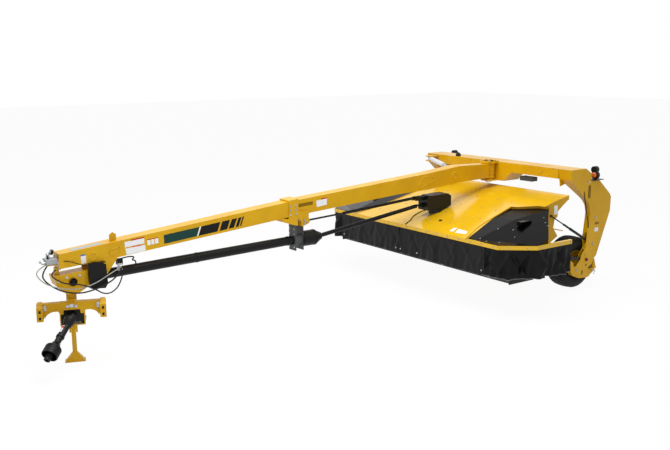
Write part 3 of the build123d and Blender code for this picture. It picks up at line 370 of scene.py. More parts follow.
def swept(path, wide, high=None, sides=12):
    """An elliptical bar along the path, square to its way: point = path + a cos t side + b sin t up."""
    path = np.asarray(path, float)
    high = wide if high is None else high
    way = np.gradient(path, axis=0)
    way /= np.linalg.norm(way, axis=1)[:, None]
    side = np.cross(way, UP)
    steep = np.linalg.norm(side, axis=1) < 0.05
    side[steep] = LEFT
    side /= np.linalg.norm(side, axis=1)[:, None]
    up = np.cross(side, way)
    angle = np.linspace(0, 2 * math.pi, sides + 1)
    around = (
        np.cos(angle)[None, :, None] * side[:, None] * wide / 2000
        + np.sin(angle)[None, :, None] * up[:, None] * high / 2000
    )
    first, last = (np.broadcast_to(path[end], (1, sides + 1, 3)) for end in (0, -1))
    return np.concatenate((first, path[:, None] + around, last))


def bolt(place, way, size):
    """A hexagon head on a round washer, with the head's half width in mm."""
    high = 3 + size * 0.7
    head = [(2.6, 0), (2.6, size), (2 + size * 0.7, size), (high, size * 0.8), (high, 0)]
    return [turned(place, way, rod(size * 1.35, 2.5, -1), 20), turned(place, way, head, 6)]


def bolts(places, way, size):
    """A hexagon bolt at each place."""
    return [shape for place in places for shape in bolt(place, way, size)]


def mesh_from(name, shapes, creased=35):
    """A mesh of quads between each grid's rows and columns, with doubles merged and faces turned out."""
    points, quads, start = [], [], 0
    for shape in shapes:
        rows, columns = shape.shape[:2]
        index = start + np.arange(rows * columns).reshape(rows, columns)
        corners = (index[:-1, :-1], index[1:, :-1], index[1:, 1:], index[:-1, 1:])
        quads.append(np.stack(corners, -1).reshape(-1, 4))
        points.append(shape.reshape(-1, 3))
        start += rows * columns
    data = bpy.data.meshes.new(name)
    data.from_pydata(np.concatenate(points).tolist(), [], np.concatenate(quads).tolist())
    work = bmesh.new()
    work.from_mesh(data)
    bmesh.ops.remove_doubles(work, verts=work.verts, dist=2e-6)
    bmesh.ops.recalc_face_normals(work, faces=work.faces)
    work.to_mesh(data)
    work.free()
    data.polygons.foreach_set("use_smooth", np.ones(len(data.polygons), bool))
    data.set_sharp_from_angle(angle=math.radians(creased))
    return data


def piece(name, shapes, finish, body, creased=35):
    """One object of these grids in that finish, riding on the body."""
    data = mesh_from(name, shapes, creased)
    data.materials.append(FINISHES[finish])
    made = bpy.data.objects.new(name, data)
    bpy.context.collection.objects.link(made)
    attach(made, body)
    return made


# Hoses of the hitch: finish, and control points of a smooth line in mm
HOSE_ROUTES = {
    "brake_hose": ("braid", [
        (40, 7143, 1193), (80, 7286, 1148), (130, 7262, 1059), (160, 7165, 976), (180, 7030, 926),
        (190, 6867, 890), (190, 6661, 922), (180, 6487, 1002), (130, 6307, 1065),
    ]),
    "lift_hose": ("hose", [
        (20, 7130, 1172), (80, 7214, 1104), (130, 7203, 1028), (170, 7099, 935), (190, 6984, 877),
        (200, 6831, 843), (210, 6705, 857), (210, 6561, 888), (200, 6385, 968), (130, 6283, 1072),
    ]),
    "swing_hose": ("hose", [
        (50, 7048, 1120), (90, 7118, 1092), (140, 7100, 1045), (170, 6982, 969), (190, 6821, 948),
        (200, 6657, 868), (210, 6566, 795), (210, 6455, 793), (200, 6344, 895), (130, 6287, 1006),
    ]),
    "box_cable": ("hose", [(90, 6980, 1221), (130, 6889, 1210), (150, 6793, 1162), (160, 6701, 1140)]),
}
HOSE_ORDER = 3


def route_length(route, order=HOSE_ORDER, steps=600):
    """Length in metres of the smooth line: a clamped quadratic B-spline, by the sum of its short chords."""
    count = len(route)
    knots = np.concatenate((np.zeros(order - 1), np.linspace(0, 1, count - order + 2), np.ones(order - 1)))
    u = np.linspace(0, 1 - 1e-9, steps)[:, None]
    basis = ((knots[:-1] <= u) & (u < knots[1:])).astype(float)
    for degree in range(1, order):
        rise, fall = knots[degree:-1] - knots[: -degree - 1], knots[degree + 1 :] - knots[1:-degree]
        left = np.divide(u - knots[: -degree - 1], rise, where=rise > 0, out=np.zeros((steps, len(rise))))
        right = np.divide(knots[degree + 1 :] - u, fall, where=fall > 0, out=np.zeros((steps, len(fall))))
        basis = left * basis[:, :-1] + right * basis[:, 1:]
    line = basis @ route
    return float(np.linalg.norm(np.diff(line, axis=0), axis=1).sum())


def make_hoses(sizes):
    """Each hose as a round curve of one smooth spline through the loop that it hangs in."""
    for name, (finish, points) in HOSE_ROUTES.items():
        diameter = mm(getattr(sizes, name))
        route = np.array([spot(*point) for point in points])
        curve = bpy.data.curves.new(name, "CURVE")
        curve.dimensions, curve.resolution_u = "3D", 8
        curve.bevel_depth, curve.bevel_resolution, curve.use_fill_caps = diameter / 2000, 4, True
        spline = curve.splines.new("NURBS")
        spline.points.add(len(route) - 1)
        spline.points.foreach_set("co", np.concatenate((route, np.ones((len(route), 1))), 1).ravel())
        spline.order_u = HOSE_ORDER
        spline.use_endpoint_u = True
        curve.materials.append(FINISHES[finish])
        made = bpy.data.objects.new(name, curve)
        bpy.context.collection.objects.link(made)
        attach(made, "tongue")
        route_length(route)


# Curtains round the header
CURTAIN_TOP = 951
CURTAIN_AHEAD, CURTAIN_HALF, CURTAIN_SIDE, CURTAIN_CORNER, CURTAIN_REAR = 1794, 1840, 2170, 1400, 700
# The corner curtains start this far behind the front ones
OVERLAP_BACK = 16
CURTAINS = {
    # name: plan corners (across, ahead), setting of the fold depth, phase, CAD node it stands for, finishes
    # of the cloth and of its edge
    "curtain_right_panel": (
        [(-1640, CURTAIN_AHEAD), (-170, CURTAIN_AHEAD)],
        "panel_fold", 0.4, "curtain_front", "curtain", "curtain",
    ),
    "curtain_left_panel": (
        [(-246, CURTAIN_AHEAD - 14), (-150, CURTAIN_AHEAD - 10), (1617, CURTAIN_AHEAD)],
        "panel_fold", 2.1, "curtain_front", "curtain", "curtain",
    ),
    "curtain_left_corner": (
        [(1536, CURTAIN_AHEAD - OVERLAP_BACK), (CURTAIN_HALF, CURTAIN_AHEAD), (CURTAIN_SIDE, CURTAIN_CORNER),
         (CURTAIN_SIDE, CURTAIN_REAR)],
        "corner_fold", 0.9, "curtain_side_left", "curtain_corner", "hem",
    ),
    "curtain_right_corner": (
        [(-CURTAIN_SIDE, CURTAIN_REAR), (-CURTAIN_SIDE, CURTAIN_CORNER), (-CURTAIN_HALF, CURTAIN_AHEAD),
         (-1552, CURTAIN_AHEAD - OVERLAP_BACK)],
        "corner_fold", 1.7, "curtain_side_right", "curtain_corner", "hem",
    ),
}


def path_length(corners):
    """Distance along a path to each of its corners."""
    return np.concatenate(([0], np.cumsum(np.linalg.norm(np.diff(corners, axis=0), axis=1))))


def curtain_grid(corners, fold, phase, drop):
    """Cloth hung from a bent edge. At length s and depth d, from 0 to 1, the point moves out by the fold
    times the sum of d^1.15 (three sines of s) and sin(pi d) (two creases). The creases are sines of
    s + 190 d and s - 260 d, raised to high odd powers, so each is a narrow slanted ridge."""
    corners = np.array(corners, float)
    along = path_length(corners)
    s = np.linspace(0, along[-1], max(60, int(along[-1] / 14)))
    reach = np.clip(s[None] + np.array((-45, -22, 0, 22, 45))[:, None], 0, along[-1])
    across = np.interp(reach, along, corners[:, 0]).mean(0)
    ahead = np.interp(reach, along, corners[:, 1]).mean(0)
    way = np.stack((np.gradient(across), np.gradient(ahead)), -1)
    way /= np.linalg.norm(way, axis=1)[:, None]
    out = np.stack((-way[:, 1], way[:, 0]), -1)
    depth = np.linspace(0, 1, 34)[:, None]
    wave = (
        0.5 * np.sin(s / 66 + phase)
        + 0.35 * np.sin(s / 37 + 2.3 * phase)
        + 0.3 * np.sin(s / 21 + 5 * phase + depth)
    )
    crease = (
        np.sin((s + 190 * depth) / 92 + phase * 3) ** 15
        + 0.8 * np.sin((s - 260 * depth) / 118 + phase) ** 19
    )
    hold = np.clip(np.minimum(s, along[-1] - s) / 90, 0.15, 1)
    move = fold * hold * (depth**1.15 * wave + 0.8 * np.sin(math.pi * depth) * crease)
    height = CURTAIN_TOP - drop * depth + 4 * depth * np.sin(s / 130 + phase)
    return spot(across + move * out[:, 0], ahead + move * out[:, 1], height), along[-1]


def make_curtains(sizes):
    """The four hung panels, each with its cut edge, and the rivets near their lower corners."""
    drop = mm(sizes.curtain_drop)
    for name, (corners, fold, phase, node, finish, edge) in CURTAINS.items():
        grid, length = curtain_grid(corners, mm(getattr(sizes, fold)), phase, drop)
        made = piece(name, [grid], finish, "header", 70)
        thick = made.modifiers.new("thickness", "SOLIDIFY")
        thick.thickness, thick.offset = sizes.curtain_thick, 0
        hem = piece(f"{name}_hem", [swept(grid[-1], 5, 7, 8)], edge, "header", 70)
        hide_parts(node)
    rivets = [
        turned(spot(across, CURTAIN_AHEAD + 9, 622), AHEAD, [(0, 0), (0, 11), (4, 9), (6, 0)], 16)
        for across in (-240, -140, 240, 1558, -1560)
    ]
    piece("curtain_rivets", rivets, "steel", "header")


# Wheels
WHEEL_X, WHEEL_BACK, WHEEL_HEIGHT = 1313, -342, 393.5
# Radius of the circle of nuts, and how far out from the wheel's middle their two rows stand
NUT_CIRCLE, NUT_OUTER, NUT_INNER = 79, 46, 36
TYRE_PROFILE = [
    (-119, 196), (-128, 214), (-148, 244), (-160, 272), (-163, 298), (-158, 325), (-146, 352), (-132, 372),
    (-112, 383), (-70, 389), (0, 392), (70, 389), (112, 383), (132, 372), (146, 352), (158, 325), (163, 298),
    (160, 272), (148, 244), (128, 214), (119, 196), (119, 191.5), (-119, 191.5), (-119, 196),
]
# The profile's outside ends at this corner, and the tread lies outside this radius
OUTSIDE_END, TREAD_RADIUS = 20, 366


def tyre_grid(centre, groove, steps=300):
    """The tyre's profile turned about the axle. On the tread, outside the tread radius, the radius drops by
    the groove depth in four ring grooves and, off the middle, where sin(34 a + |x| / 26) is high. Each wall
    has a raised ring near radius 300."""
    corners = np.array(TYRE_PROFILE, float)
    along = path_length(corners)
    s = np.unique(np.concatenate((along, np.linspace(0, along[OUTSIDE_END], 150))))
    across, radius = np.interp(s, along, corners[:, 0]), np.interp(s, along, corners[:, 1])
    angle = np.linspace(0, 2 * math.pi, steps + 1)
    x, a = across[:, None], angle[None]
    tread = np.clip((radius[:, None] - TREAD_RADIUS) / 8, 0, 1)
    rings = np.maximum.reduce([
        np.clip(1.6 - np.abs(x - middle) / 4.5, 0, 1) for middle in (-74, -24, 24, 74)
    ])
    cuts = np.clip(np.sin(34 * a + np.abs(x) / 26) * 4 - 2.6, 0, 1) * (np.abs(x) > 26)
    wall = np.clip(1 - np.abs(radius[:, None] - 300) / 3, 0, 1) * 1.6
    deep = tread * np.maximum(rings, cuts) * groove
    spread = x + np.sign(x) * wall
    spoke = np.cos(a)[..., None] * AHEAD + np.sin(a)[..., None] * UP
    return (
        np.asarray(centre)
        + spread[..., None] / 1000 * LEFT
        + ((radius[:, None] - deep) / 1000)[..., None] * spoke
    )


def make_wheels(sizes):
    """Both tyres, and the wheel nuts and hub caps on the rims."""
    angle = np.arange(8) * math.pi / 4
    circle = NUT_CIRCLE / 1000 * (np.cos(angle)[:, None] * AHEAD + np.sin(angle)[:, None] * UP)
    for side, name in SIDES:
        out, body = side * LEFT, f"wheel_{name}"
        centre = spot(side * WHEEL_X, WHEEL_BACK, WHEEL_HEIGHT)
        tyre = piece(f"tyre_tread_{name}", [tyre_grid(centre, mm(sizes.groove_depth))], "tyre", body, 28)
        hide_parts(f"tyre_{name}")
        nuts = bolts(centre + circle + NUT_OUTER / 1000 * out, out, 9)
        nuts += bolts(centre + circle + NUT_INNER / 1000 * out, -out, 9)
        piece(f"wheel_nuts_{name}", nuts, "steel", body)
        cap = [(-112, 0), (-112, 40), (-104, 46), (-99, 46), (-99, 0)]
        piece(f"hub_cap_{name}", [turned(centre, out, cap, 32)], "grey", body)


# Plates and stripes on the tongue's left side, as (ahead, height) corners
TONGUE_SIDE = 100
STRIPES = [
    ("green", [(5741, 1367), (5259, 1411), (5301, 1297), (5738, 1258)]),
    ("white", [(5255, 1412), (5237, 1414), (5282, 1299), (5297, 1298)]),
    ("ink", [(5233, 1414), (4966, 1439), (5013, 1322), (5278, 1299)]),
    ("ink", [(4940, 1441), (4829, 1451), (4874, 1335), (4985, 1324)]),
    ("ink", [(4803, 1453), (4726, 1460), (4778, 1344), (4853, 1337)]),
    ("ink", [(4706, 1462), (4662, 1466), (4708, 1350), (4752, 1346)]),
    ("ink", [(4646, 1468), (4624, 1470), (4670, 1354), (4690, 1352)]),
    ("white", [(6769, 1248), (6710, 1252), (6708, 1164), (6764, 1160)]),
    ("blue", [(6769, 1264), (6710, 1268), (6710, 1252), (6769, 1248)]),
    ("white", [(6239, 1345), (5992, 1362), (5993, 1298), (6237, 1280)]),
    ("red", [(6160, 1366), (5992, 1378), (5992, 1362), (6160, 1350)]),
    ("white", [(6232, 1266), (5982, 1280), (5980, 1209), (6221, 1189)]),
    ("orange", [(6150, 1287), (6035, 1294), (6035, 1276), (6150, 1270)]),
    ("white", [(5956, 1330), (5914, 1333), (5912, 1271), (5953, 1268)]),
    ("white", [(5904, 1334), (5866, 1337), (5864, 1275), (5901, 1272)]),
    ("white", [(5856, 1338), (5815, 1341), (5813, 1279), (5853, 1276)]),
    ("red", [(5956, 1340), (5815, 1351), (5815, 1341), (5956, 1330)]),
    ("white", [(3500, 1560), (3324, 1575), (3324, 1489), (3491, 1473)]),
    ("red", [(3420, 1582), (3324, 1590), (3324, 1575), (3420, 1567)]),
]
# The slot plate at the splice, yellow in painted shade, as (ahead, height) corners
SLOT_SHADE_PLATE = [(3785, 1546), (3557, 1560), (3558, 1515), (3786, 1501)]
# On the left leg's outer face: finish, place ahead, height, width and height of the plate. The two darker
# yellow ones are sheets of painted shade.
LEG_FACE = 1549
LEG_PLATES = [
    ("white", -650, 888, 84, 62), ("yellow_dark", -651, 984, 96, 34), ("yellow_dark", -440, 1485, 60, 190),
]
# On the deck near its lip, and on top of the tongue's nose, as (across, ahead) corners
DECK_PLATES = [
    [(819, 1700), (790, 1592), (851, 1576), (877, 1692)],
    [(941, 1712), (892, 1591), (1087, 1606), (1125, 1684)],
]
GRIP_STRIP = [(-30, 6860), (66, 6860), (66, 6490), (-30, 6490)]
DECK_LIP = (1798, 1008)
DECK_SLOPE = 0.26
# The front tongue's top line, as (ahead, height) at its nose and at the splice
TONGUE_TOP = ((7012, 1304), (3880, 1594))


def deck_height(ahead):
    """Height of the deck's top at that distance ahead."""
    return DECK_LIP[1] + DECK_SLOPE * (DECK_LIP[0] - np.asarray(ahead, float))


def deck_spot(across, ahead, above=0):
    """A place that far above the deck's top."""
    return spot(across, ahead, deck_height(ahead) + above)


def deck_normal():
    """Way out of the deck's top."""
    return np.array((0, -DECK_SLOPE, 1)) / math.hypot(DECK_SLOPE, 1)


def tongue_top(ahead):
    """Height of the front tongue's top at that distance ahead, on the line between its two ends."""
    (front, low), (rear, high) = TONGUE_TOP
    return low + (front - ahead) * (high - low) / (front - rear)


def tongue_panel(corners, thick):
    """A thin plate on the tongue's left side, from its (ahead, height) corners."""
    return panel(spot(TONGUE_SIDE, *np.array(corners, float).T), LEFT, thick)


def make_plates():
    """The blank plates and plain stripes, each a thin sheet on the steel that carries it."""
    for finish in ("green", "white", "ink", "blue", "red", "orange"):
        shapes = [tongue_panel(corners, 0.9) for kind, corners in STRIPES if kind == finish]
        piece(f"tongue_{finish}_plates", shapes, finish, "tongue")
    # A sheet of yellow in painted shade over the slot
    piece("tongue_slot_shade_plate", [tongue_panel(SLOT_SHADE_PLATE, 1.5)], "yellow_dark", "tongue")
    for row, (finish, ahead, height, wide, high) in enumerate(LEG_PLATES):
        shape = slab(spot(LEG_FACE, ahead, height), -AHEAD, UP, wide, high, 1.2)
        piece(f"leg_plate_{row + 1}", [shape], finish, "portal")
    shapes = [panel(deck_spot(*np.array(corners, float).T, 0.5), deck_normal(), 1) for corners in DECK_PLATES]
    piece("deck_plates", shapes, "white", "header")
    piece("hood_plate", [slab(spot(1496.5, 240, 1275), -AHEAD, UP, 74, 130, 1.2)], "white", "header")
    across, ahead = np.array(GRIP_STRIP).T
    strip = panel(spot(across, ahead, tongue_top(ahead)), UP, 2)
    piece("tongue_top_strip", [strip], "strip", "tongue")


# Small parts of the tongue. Places on both its sides are (ahead, height), and the rings have a radius.
RINGS = [(6875, 1196, 33), (6626, 1229, 44), (933, 1688, 46)]
TEARDROP = [(6276, 1294), (6340, 1288), (6420, 1276), (6428, 1228), (6380, 1204), (6330, 1235), (6270, 1284)]
REAR_PRESS = [
    (1365, 1700), (1440, 1722), (1600, 1705), (1690, 1545), (1520, 1588), (1400, 1622), (1355, 1660),
]
# How far out the faces of the splice and of the hitch housing lie, and the bolts on them
SPLICE_SIDE, HOUSING_SIDE = 116, 92
SPLICE_BOLTS = [
    (3929, 1527), (3929, 1472), (3926, 1415), (3847, 1536), (3844, 1478), (3840, 1418), (3712, 1319),
    (3668, 1289), (3712, 1266),
]
HOUSING_BOLTS = [(6942, 1024), (6794, 1026), (7040, 990)]
# The valve block's top, and the gauge on it, which looks ahead and a little up
VALVE_TOP = 1249
GAUGE_PLACE, GAUGE_WAY = (2, 7052, 1316), AHEAD * 0.9 + UP * 0.3
# The rod of the hose hook, as (ahead, height)
HOOK_PATH = [(6330, 1150), (6190, 1168), (6115, 1150), (6165, 1120), (6112, 1108), (6112, 1062)]
# Ends of the drive shaft's guard tube, and the height of its middle bearing
TUBE_FRONT, TUBE_REAR = (0, 6700, 968.5), (0, 3835, 1041)
BEARING_HEIGHT = 1042


def ring_press(ahead, height, radius, side):
    """A pressed ring that stands 6 mm out of the tongue's side."""
    profile = [
        (-1, radius - 11), (4, radius - 6), (6, radius), (4, radius + 6), (-1, radius + 11), (-2, radius),
        (-1, radius - 11),
    ]
    return turned(spot(side * TONGUE_SIDE, ahead, height), side * LEFT, profile, 40)


def pressed_outline(points, side):
    """A pressed bead along a closed outline on the tongue's side."""
    path = eased([spot(side * (TONGUE_SIDE - 1), *point) for point in points + points[:2]])[3:-3]
    return swept(path, 14, 14, 8)


def make_nose_parts():
    """Pin, gauge, couplings and levers on the valve block of the tongue's nose, and the block's shelf."""
    pin = turned(spot(66, 7010, 1120), UP, [(0, 0), (0, 16), (84, 16), (92, 12), (92, 0)], 20)
    piece("nose_pin", [pin], "steel", "tongue")
    coupling = [(0, 0), (0, 13), (18, 13), (18, 17), (44, 17), (48, 12), (48, 0)]
    couplings = [
        turned(spot(x, 7150, z), AHEAD, coupling, 12) for x, z in ((-44, 1212), (-8, 1222), (40, 1214))
    ]
    levers = [
        turned(
            spot(x, ahead, VALVE_TOP), UP,
            [(0, 0), (0, 11), (16, 11), (16, 7), (high, 7), (high + 12, 9), (high + 16, 0)], 12,
        )
        for x, ahead, high in ((-46, 7110, 40), (-6, 7095, 58), (30, 7120, 34), (44, 7010, 26))
    ]
    place = spot(*GAUGE_PLACE)
    gauge = turned(place, GAUGE_WAY, [(0, 0), (0, 30), (26, 32), (30, 30), (32, 0)], 28)
    piece("gauge", [gauge] + levers[2:], "guard", "tongue")
    glass = turned(place + GAUGE_WAY * 0.033, GAUGE_WAY, [(0, 0), (0, 25), (1.5, 24), (2, 0)], 28)
    piece("gauge_glass", [glass], "clear", "tongue")
    stem = turned(spot(2, 7040, VALVE_TOP), UP, rod(8, 40), 12)
    piece("nose_couplings", couplings + levers[:2] + [stem], "steel", "tongue")
    piece("valve_shelf", [slab(spot(0, 7060, 1186), LEFT, AHEAD, 156, 170, 6, 12)], "yellow", "tongue")


def make_tongue_parts():
    """Pressings, splice bolts, housing caps, nose parts, hose hook, box lid and the drive shaft's collars."""
    presses, heads = [], []
    for side in (1, -1):
        presses += [ring_press(*place, side) for place in RINGS]
        presses += [pressed_outline(points, side) for points in (TEARDROP, REAR_PRESS)]
        heads += bolts([spot(side * SPLICE_SIDE, *place) for place in SPLICE_BOLTS], side * LEFT, 11)
        heads += bolts([spot(side * HOUSING_SIDE, *place) for place in HOUSING_BOLTS], side * LEFT, 12)
    piece("tongue_pressings", presses, "yellow", "tongue", 60)
    piece("tongue_bolts", heads, "steel", "tongue")
    cap = [(0, 0), (0, 50), (10, 50), (14, 44), (14, 30), (20, 28), (20, 0)]
    caps = [turned(spot(side * HOUSING_SIDE, 6871, 962), side * LEFT, cap, 32) for side in (1, -1)]
    piece("housing_caps", caps, "guard", "tongue")
    make_nose_parts()
    # Hose hook under the tongue, with the block that ties it
    hook = swept(eased([spot(96, *place) for place in HOOK_PATH]), 12, 16)
    tie = slab(spot(60, 6270, 1112), LEFT, UP, 76, 70, 60, 10)
    piece("hose_hook", [hook, tie], "guard", "tongue")
    fitting = [(-30, 0), (-30, 10), (0, 10), (0, 14), (26, 14), (26, 9), (40, 9), (40, 0)]
    fittings = [
        turned(spot(x, 6318, z), AHEAD, fitting, 8)
        for x, z in ((112, 1030), (118, 1062), (124, 1096), (96, 1048))
    ]
    piece("hose_fittings", fittings, "steel", "tongue")
    # Lid of the manual box and its handle
    lid = slab(spot(133, 6600, 1160), LEFT, AHEAD, 62, 200, 7, 8)
    handle = slab(spot(133, 6622, 1167), LEFT, AHEAD, 26, 46, 12, 8)
    piece("box_lid", [lid, handle], "guard", "tongue")
    # Collars on the drive shaft's guard tube, rims of the bearing's guard and bolts of its hanger
    start = spot(*TUBE_FRONT)
    unit = (spot(*TUBE_REAR) - start) / np.linalg.norm(spot(*TUBE_REAR) - start)
    collars = [turned(start + unit * at, unit, ring(58, 64, 28, 32), 32) for at in (1.42, 2.78)]
    piece("tube_collars", collars, "guard", "tongue")
    rims = [
        turned(spot(0, 3705, BEARING_HEIGHT), -AHEAD, ring(104, 112, 14, 18), 40),
        turned(spot(0, 3500, BEARING_HEIGHT), -AHEAD, ring(104, 109, 10, 14), 40),
    ]
    piece("bearing_guard_rims", rims, "guard", "tongue")
    heads = bolts([spot(x, 3832, z) for x in (-56, 56) for z in (950, 1130, 1200)], AHEAD, 10)
    piece("hanger_bolts", heads, "steel", "tongue")


# Swivel hitch. Its places are (across, ahead of the swivel axis, height) before the hitch turns.
BAR_REAR, BAR_FRONT = 66, 136
BLOCK_MIDDLE, BLOCK_FRONT = 345, 195.5
ROLL_HEIGHT = 705
# The guarded shaft: where its joint is, which way it hangs from there, its profile and its bell's rings
PTO_JOINT = (0, 165, 580)
PTO_YAW, PTO_PITCH = math.radians(-29), math.radians(30)
PTO_PROFILE = [
    (-22, 0), (-22, 30), (38, 30), (40, 66), (56, 70), (96, 60), (150, 46), (156, 41), (300, 41), (304, 47),
    (326, 47), (330, 37), (404, 37), (410, 44), (452, 60), (470, 84), (476, 88), (590, 90), (592, 87),
    (590, 83), (486, 81), (470, 37), (600, 37), (606, 34), (618, 34), (622, 37), (652, 37), (652, 18),
    (600, 18), (598, 0),
]
BELL_RINGS = (484, 514, 546, 574)


def hitch_turn(vector):
    """A vector turned with the swivel hitch about the upright."""
    x, y, z = np.moveaxis(np.asarray(vector, float), -1, 0)
    cos, sin = math.cos(SWIVEL_TURN), math.sin(SWIVEL_TURN)
    return np.stack((x * cos - y * sin, x * sin + y * cos, z), -1)


def hitch_spot(across, ahead, height):
    """A place on the turned hitch, in metres."""
    across, ahead, height = np.broadcast_arrays(across, ahead, height)
    place = hitch_turn(np.stack((across, -ahead, height), -1) / 1000)
    return place + np.array((SWIVEL[0], SWIVEL[1], 0))


def crossbar_arch(side):
    """The filled corner between bar and end block: its lower edge is a quarter of an ellipse."""
    turn = np.linspace(0, math.pi / 2, 24)
    x, z = side * (176 + 118 * np.sin(turn)), 556 + 86 * np.cos(turn)
    corners = ((BAR_REAR, 643), (BAR_REAR, z), (BAR_FRONT, z), (BAR_FRONT, 643), (BAR_REAR, 643))
    return np.stack([hitch_spot(x, ahead, height) for ahead, height in corners])


def block_top(side):
    """The sloped cap on an end block, from its four lower corners to a short ridge by the bar."""
    low = [(309, 60), (381, 60), (381, 196), (309, 196)]
    high = [(322, 66), (368, 66), (366, 128), (324, 128)]
    levels = ((low, 698), (low, 706), (high, 752))
    rings = [[hitch_spot(side * x, a, z) for x, a in corners + corners[:1]] for corners, z in levels]
    middle = [hitch_spot(side * BLOCK_MIDDLE, 95, 752)] * 5
    return np.array(rings + [middle])


def make_crossbar_parts(ahead, left):
    """Arches, capped ends, link holes shown as black plates of painted shade, roll pin and bolted plates of
    the crossbar.
    """
    shapes = [crossbar_arch(side) for side in (1, -1)] + [block_top(side) for side in (1, -1)]
    shapes.append(slab(hitch_spot(0, 140, 725), left, ahead * 0.7 + UP * 0.7, 110, 40, 8))
    piece("crossbar_arches", shapes, "yellow_rough", "crossbar", 30)
    # The link holes are black plates of painted shade on the end blocks
    hole_shades = [
        slab(hitch_spot(side * BLOCK_MIDDLE, BLOCK_FRONT, z), left, UP, 24, 32, 1, 3)
        for side in (1, -1)
        for z in (664, 588)
    ]
    piece("crossbar_hole_shades", hole_shades, "ink", "crossbar")
    pin = [(0, 0), (0, 30), (8, 30), (8, 20), (26, 20), (30, 16), (30, 0)]
    roll = turned(hitch_spot(0, 134, ROLL_HEIGHT), ahead, pin, 24)
    heads = bolts([hitch_spot(x, BAR_FRONT, 690) for x in (-46, 46)], ahead, 13)
    heads += bolts([hitch_spot(side * 296, BAR_FRONT, z) for side in (1, -1) for z in (676, 704)], ahead, 8)
    plates = [slab(hitch_spot(side * 292, 137, 690), left, UP, 34, 64, 4, 5) for side in (1, -1)]
    piece("crossbar_bolts", [roll] + heads + plates, "steel", "crossbar")


def make_hitch_parts():
    """Crossbar, gearbox shields, frame bolts, and the guarded shaft with its blank label."""
    ahead, left = hitch_turn((0, -1, 0)), hitch_turn((1, 0, 0))
    make_crossbar_parts(ahead, left)
    fill = [slab(hitch_spot(side * 111, 36, 556), left, UP, 36, 206, 5) for side in (1, -1)]
    piece("gearbox_shields", fill, "black", "hitch")
    places = [hitch_spot(side * 141, a, z) for side in (1, -1) for a in (20, -70) for z in (500, 610)]
    piece("frame_bolts", bolts(places, left, 11), "steel", "hitch")
    level, fall = math.cos(PTO_PITCH), math.sin(PTO_PITCH)
    way = hitch_turn((math.sin(PTO_YAW) * level, -math.cos(PTO_YAW) * level, -fall))
    joint = hitch_spot(*PTO_JOINT)
    rings = [turned(joint + way * at / 1000, way, ring(89, 93, 9, 12), 48) for at in BELL_RINGS]
    shaft = piece("pto_guard", [turned(joint, way, PTO_PROFILE, 48)] + rings, "guard", "pto", 35)
    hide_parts("pto_shaft")
    side = np.cross(way, UP)
    side /= np.linalg.norm(side)
    out = side * 0.2 + np.cross(side, way) * 0.98
    across = np.cross(out, way)
    label = slab(joint + way * 0.225 + out * 0.0405, way, across, 96, 34, 1.2)
    piece("pto_label", [label], "white", "pto")
    band = slab(joint + way * 0.2 + out * 0.0412, way, across, 30, 34, 1.2)
    piece("pto_label_band", [band], "red", "pto")


# Small parts of the portal. Places on the legs' outer faces are (ahead, height), and the holes have a radius.
LEG_BOLTS = [(-612, 1081), (-575, 681), (-222, 312), (-411, 1632)]
LEG_SMALL_BOLTS = [(-492, 731), (-660, 235), (-610, 262), (-640, 205)]
LEG_HOLES = [(-400, 530, 9), (-442, 365, 15), (-360, 265, 13)]
# The line down each leg, as (across, ahead, height)
LEG_LINE = [
    (1500, -300, 1600), (1548, -318, 1500), (1552, -333, 1392), (1552, -366, 1281), (1552, -401, 1147),
    (1552, -447, 990), (1545, -455, 940),
]
BEAM_TOP = 1836
KING_PIN = (0, 92)
# Ends of the weld seams on the beam's front face, as (across, height)
BEAM_SEAMS = [
    ((-1029, 1786), (-915, 1695)), ((-477, 1824), (-558, 1695)), ((1029, 1786), (915, 1695)),
    ((477, 1824), (558, 1695)),
]


def make_leg_parts():
    """Bolts, pins and holes on the legs, the holes as black discs of painted shade, and the lamps' lenses."""
    heads, pins, hole_shades = [], [], []
    pin = [(0, 0), (0, 24), (14, 24), (20, 18), (20, 0)]
    for side in (1, -1):
        out, face = side * LEFT, side * LEG_FACE
        heads += bolts([spot(face, *place) for place in LEG_BOLTS], out, 14)
        heads += bolts([spot(face, *place) for place in LEG_SMALL_BOLTS], out, 9)
        pins.append(turned(spot(side * 1555, -436, 450), out, pin, 20))
        # The holes are black discs and a black slot plate of painted shade on the leg's face
        hole_shades += [turned(spot(face, ahead, z), out, rod(r, 0.8, -2), 20) for ahead, z, r in LEG_HOLES]
        hole_shades.append(slab(spot(face, -357, 262), -AHEAD * side, UP, 22, 74, 0.9, 10))
    piece("leg_bolts", heads, "steel", "portal")
    piece("link_pin_heads", pins, "purple", "portal")
    piece("leg_hole_shades", hole_shades, "ink", "portal")
    amber = [(-6, 0), (-6, 44), (4, 44), (12, 34), (16, 18), (17, 0)]
    for side, name in SIDES:
        lens = turned(spot(side * 1540, -538, 1722), AHEAD, amber, 28)
        piece(f"amber_lens_{name}", [lens], "amber", "portal")
        glass = turned(spot(side * 1505, -640, 1800), -AHEAD, [(-2, 0), (-2, 44), (5, 40), (7, 0)], 28)
        piece(f"work_lamp_glass_{name}", [glass], "clear", "portal")


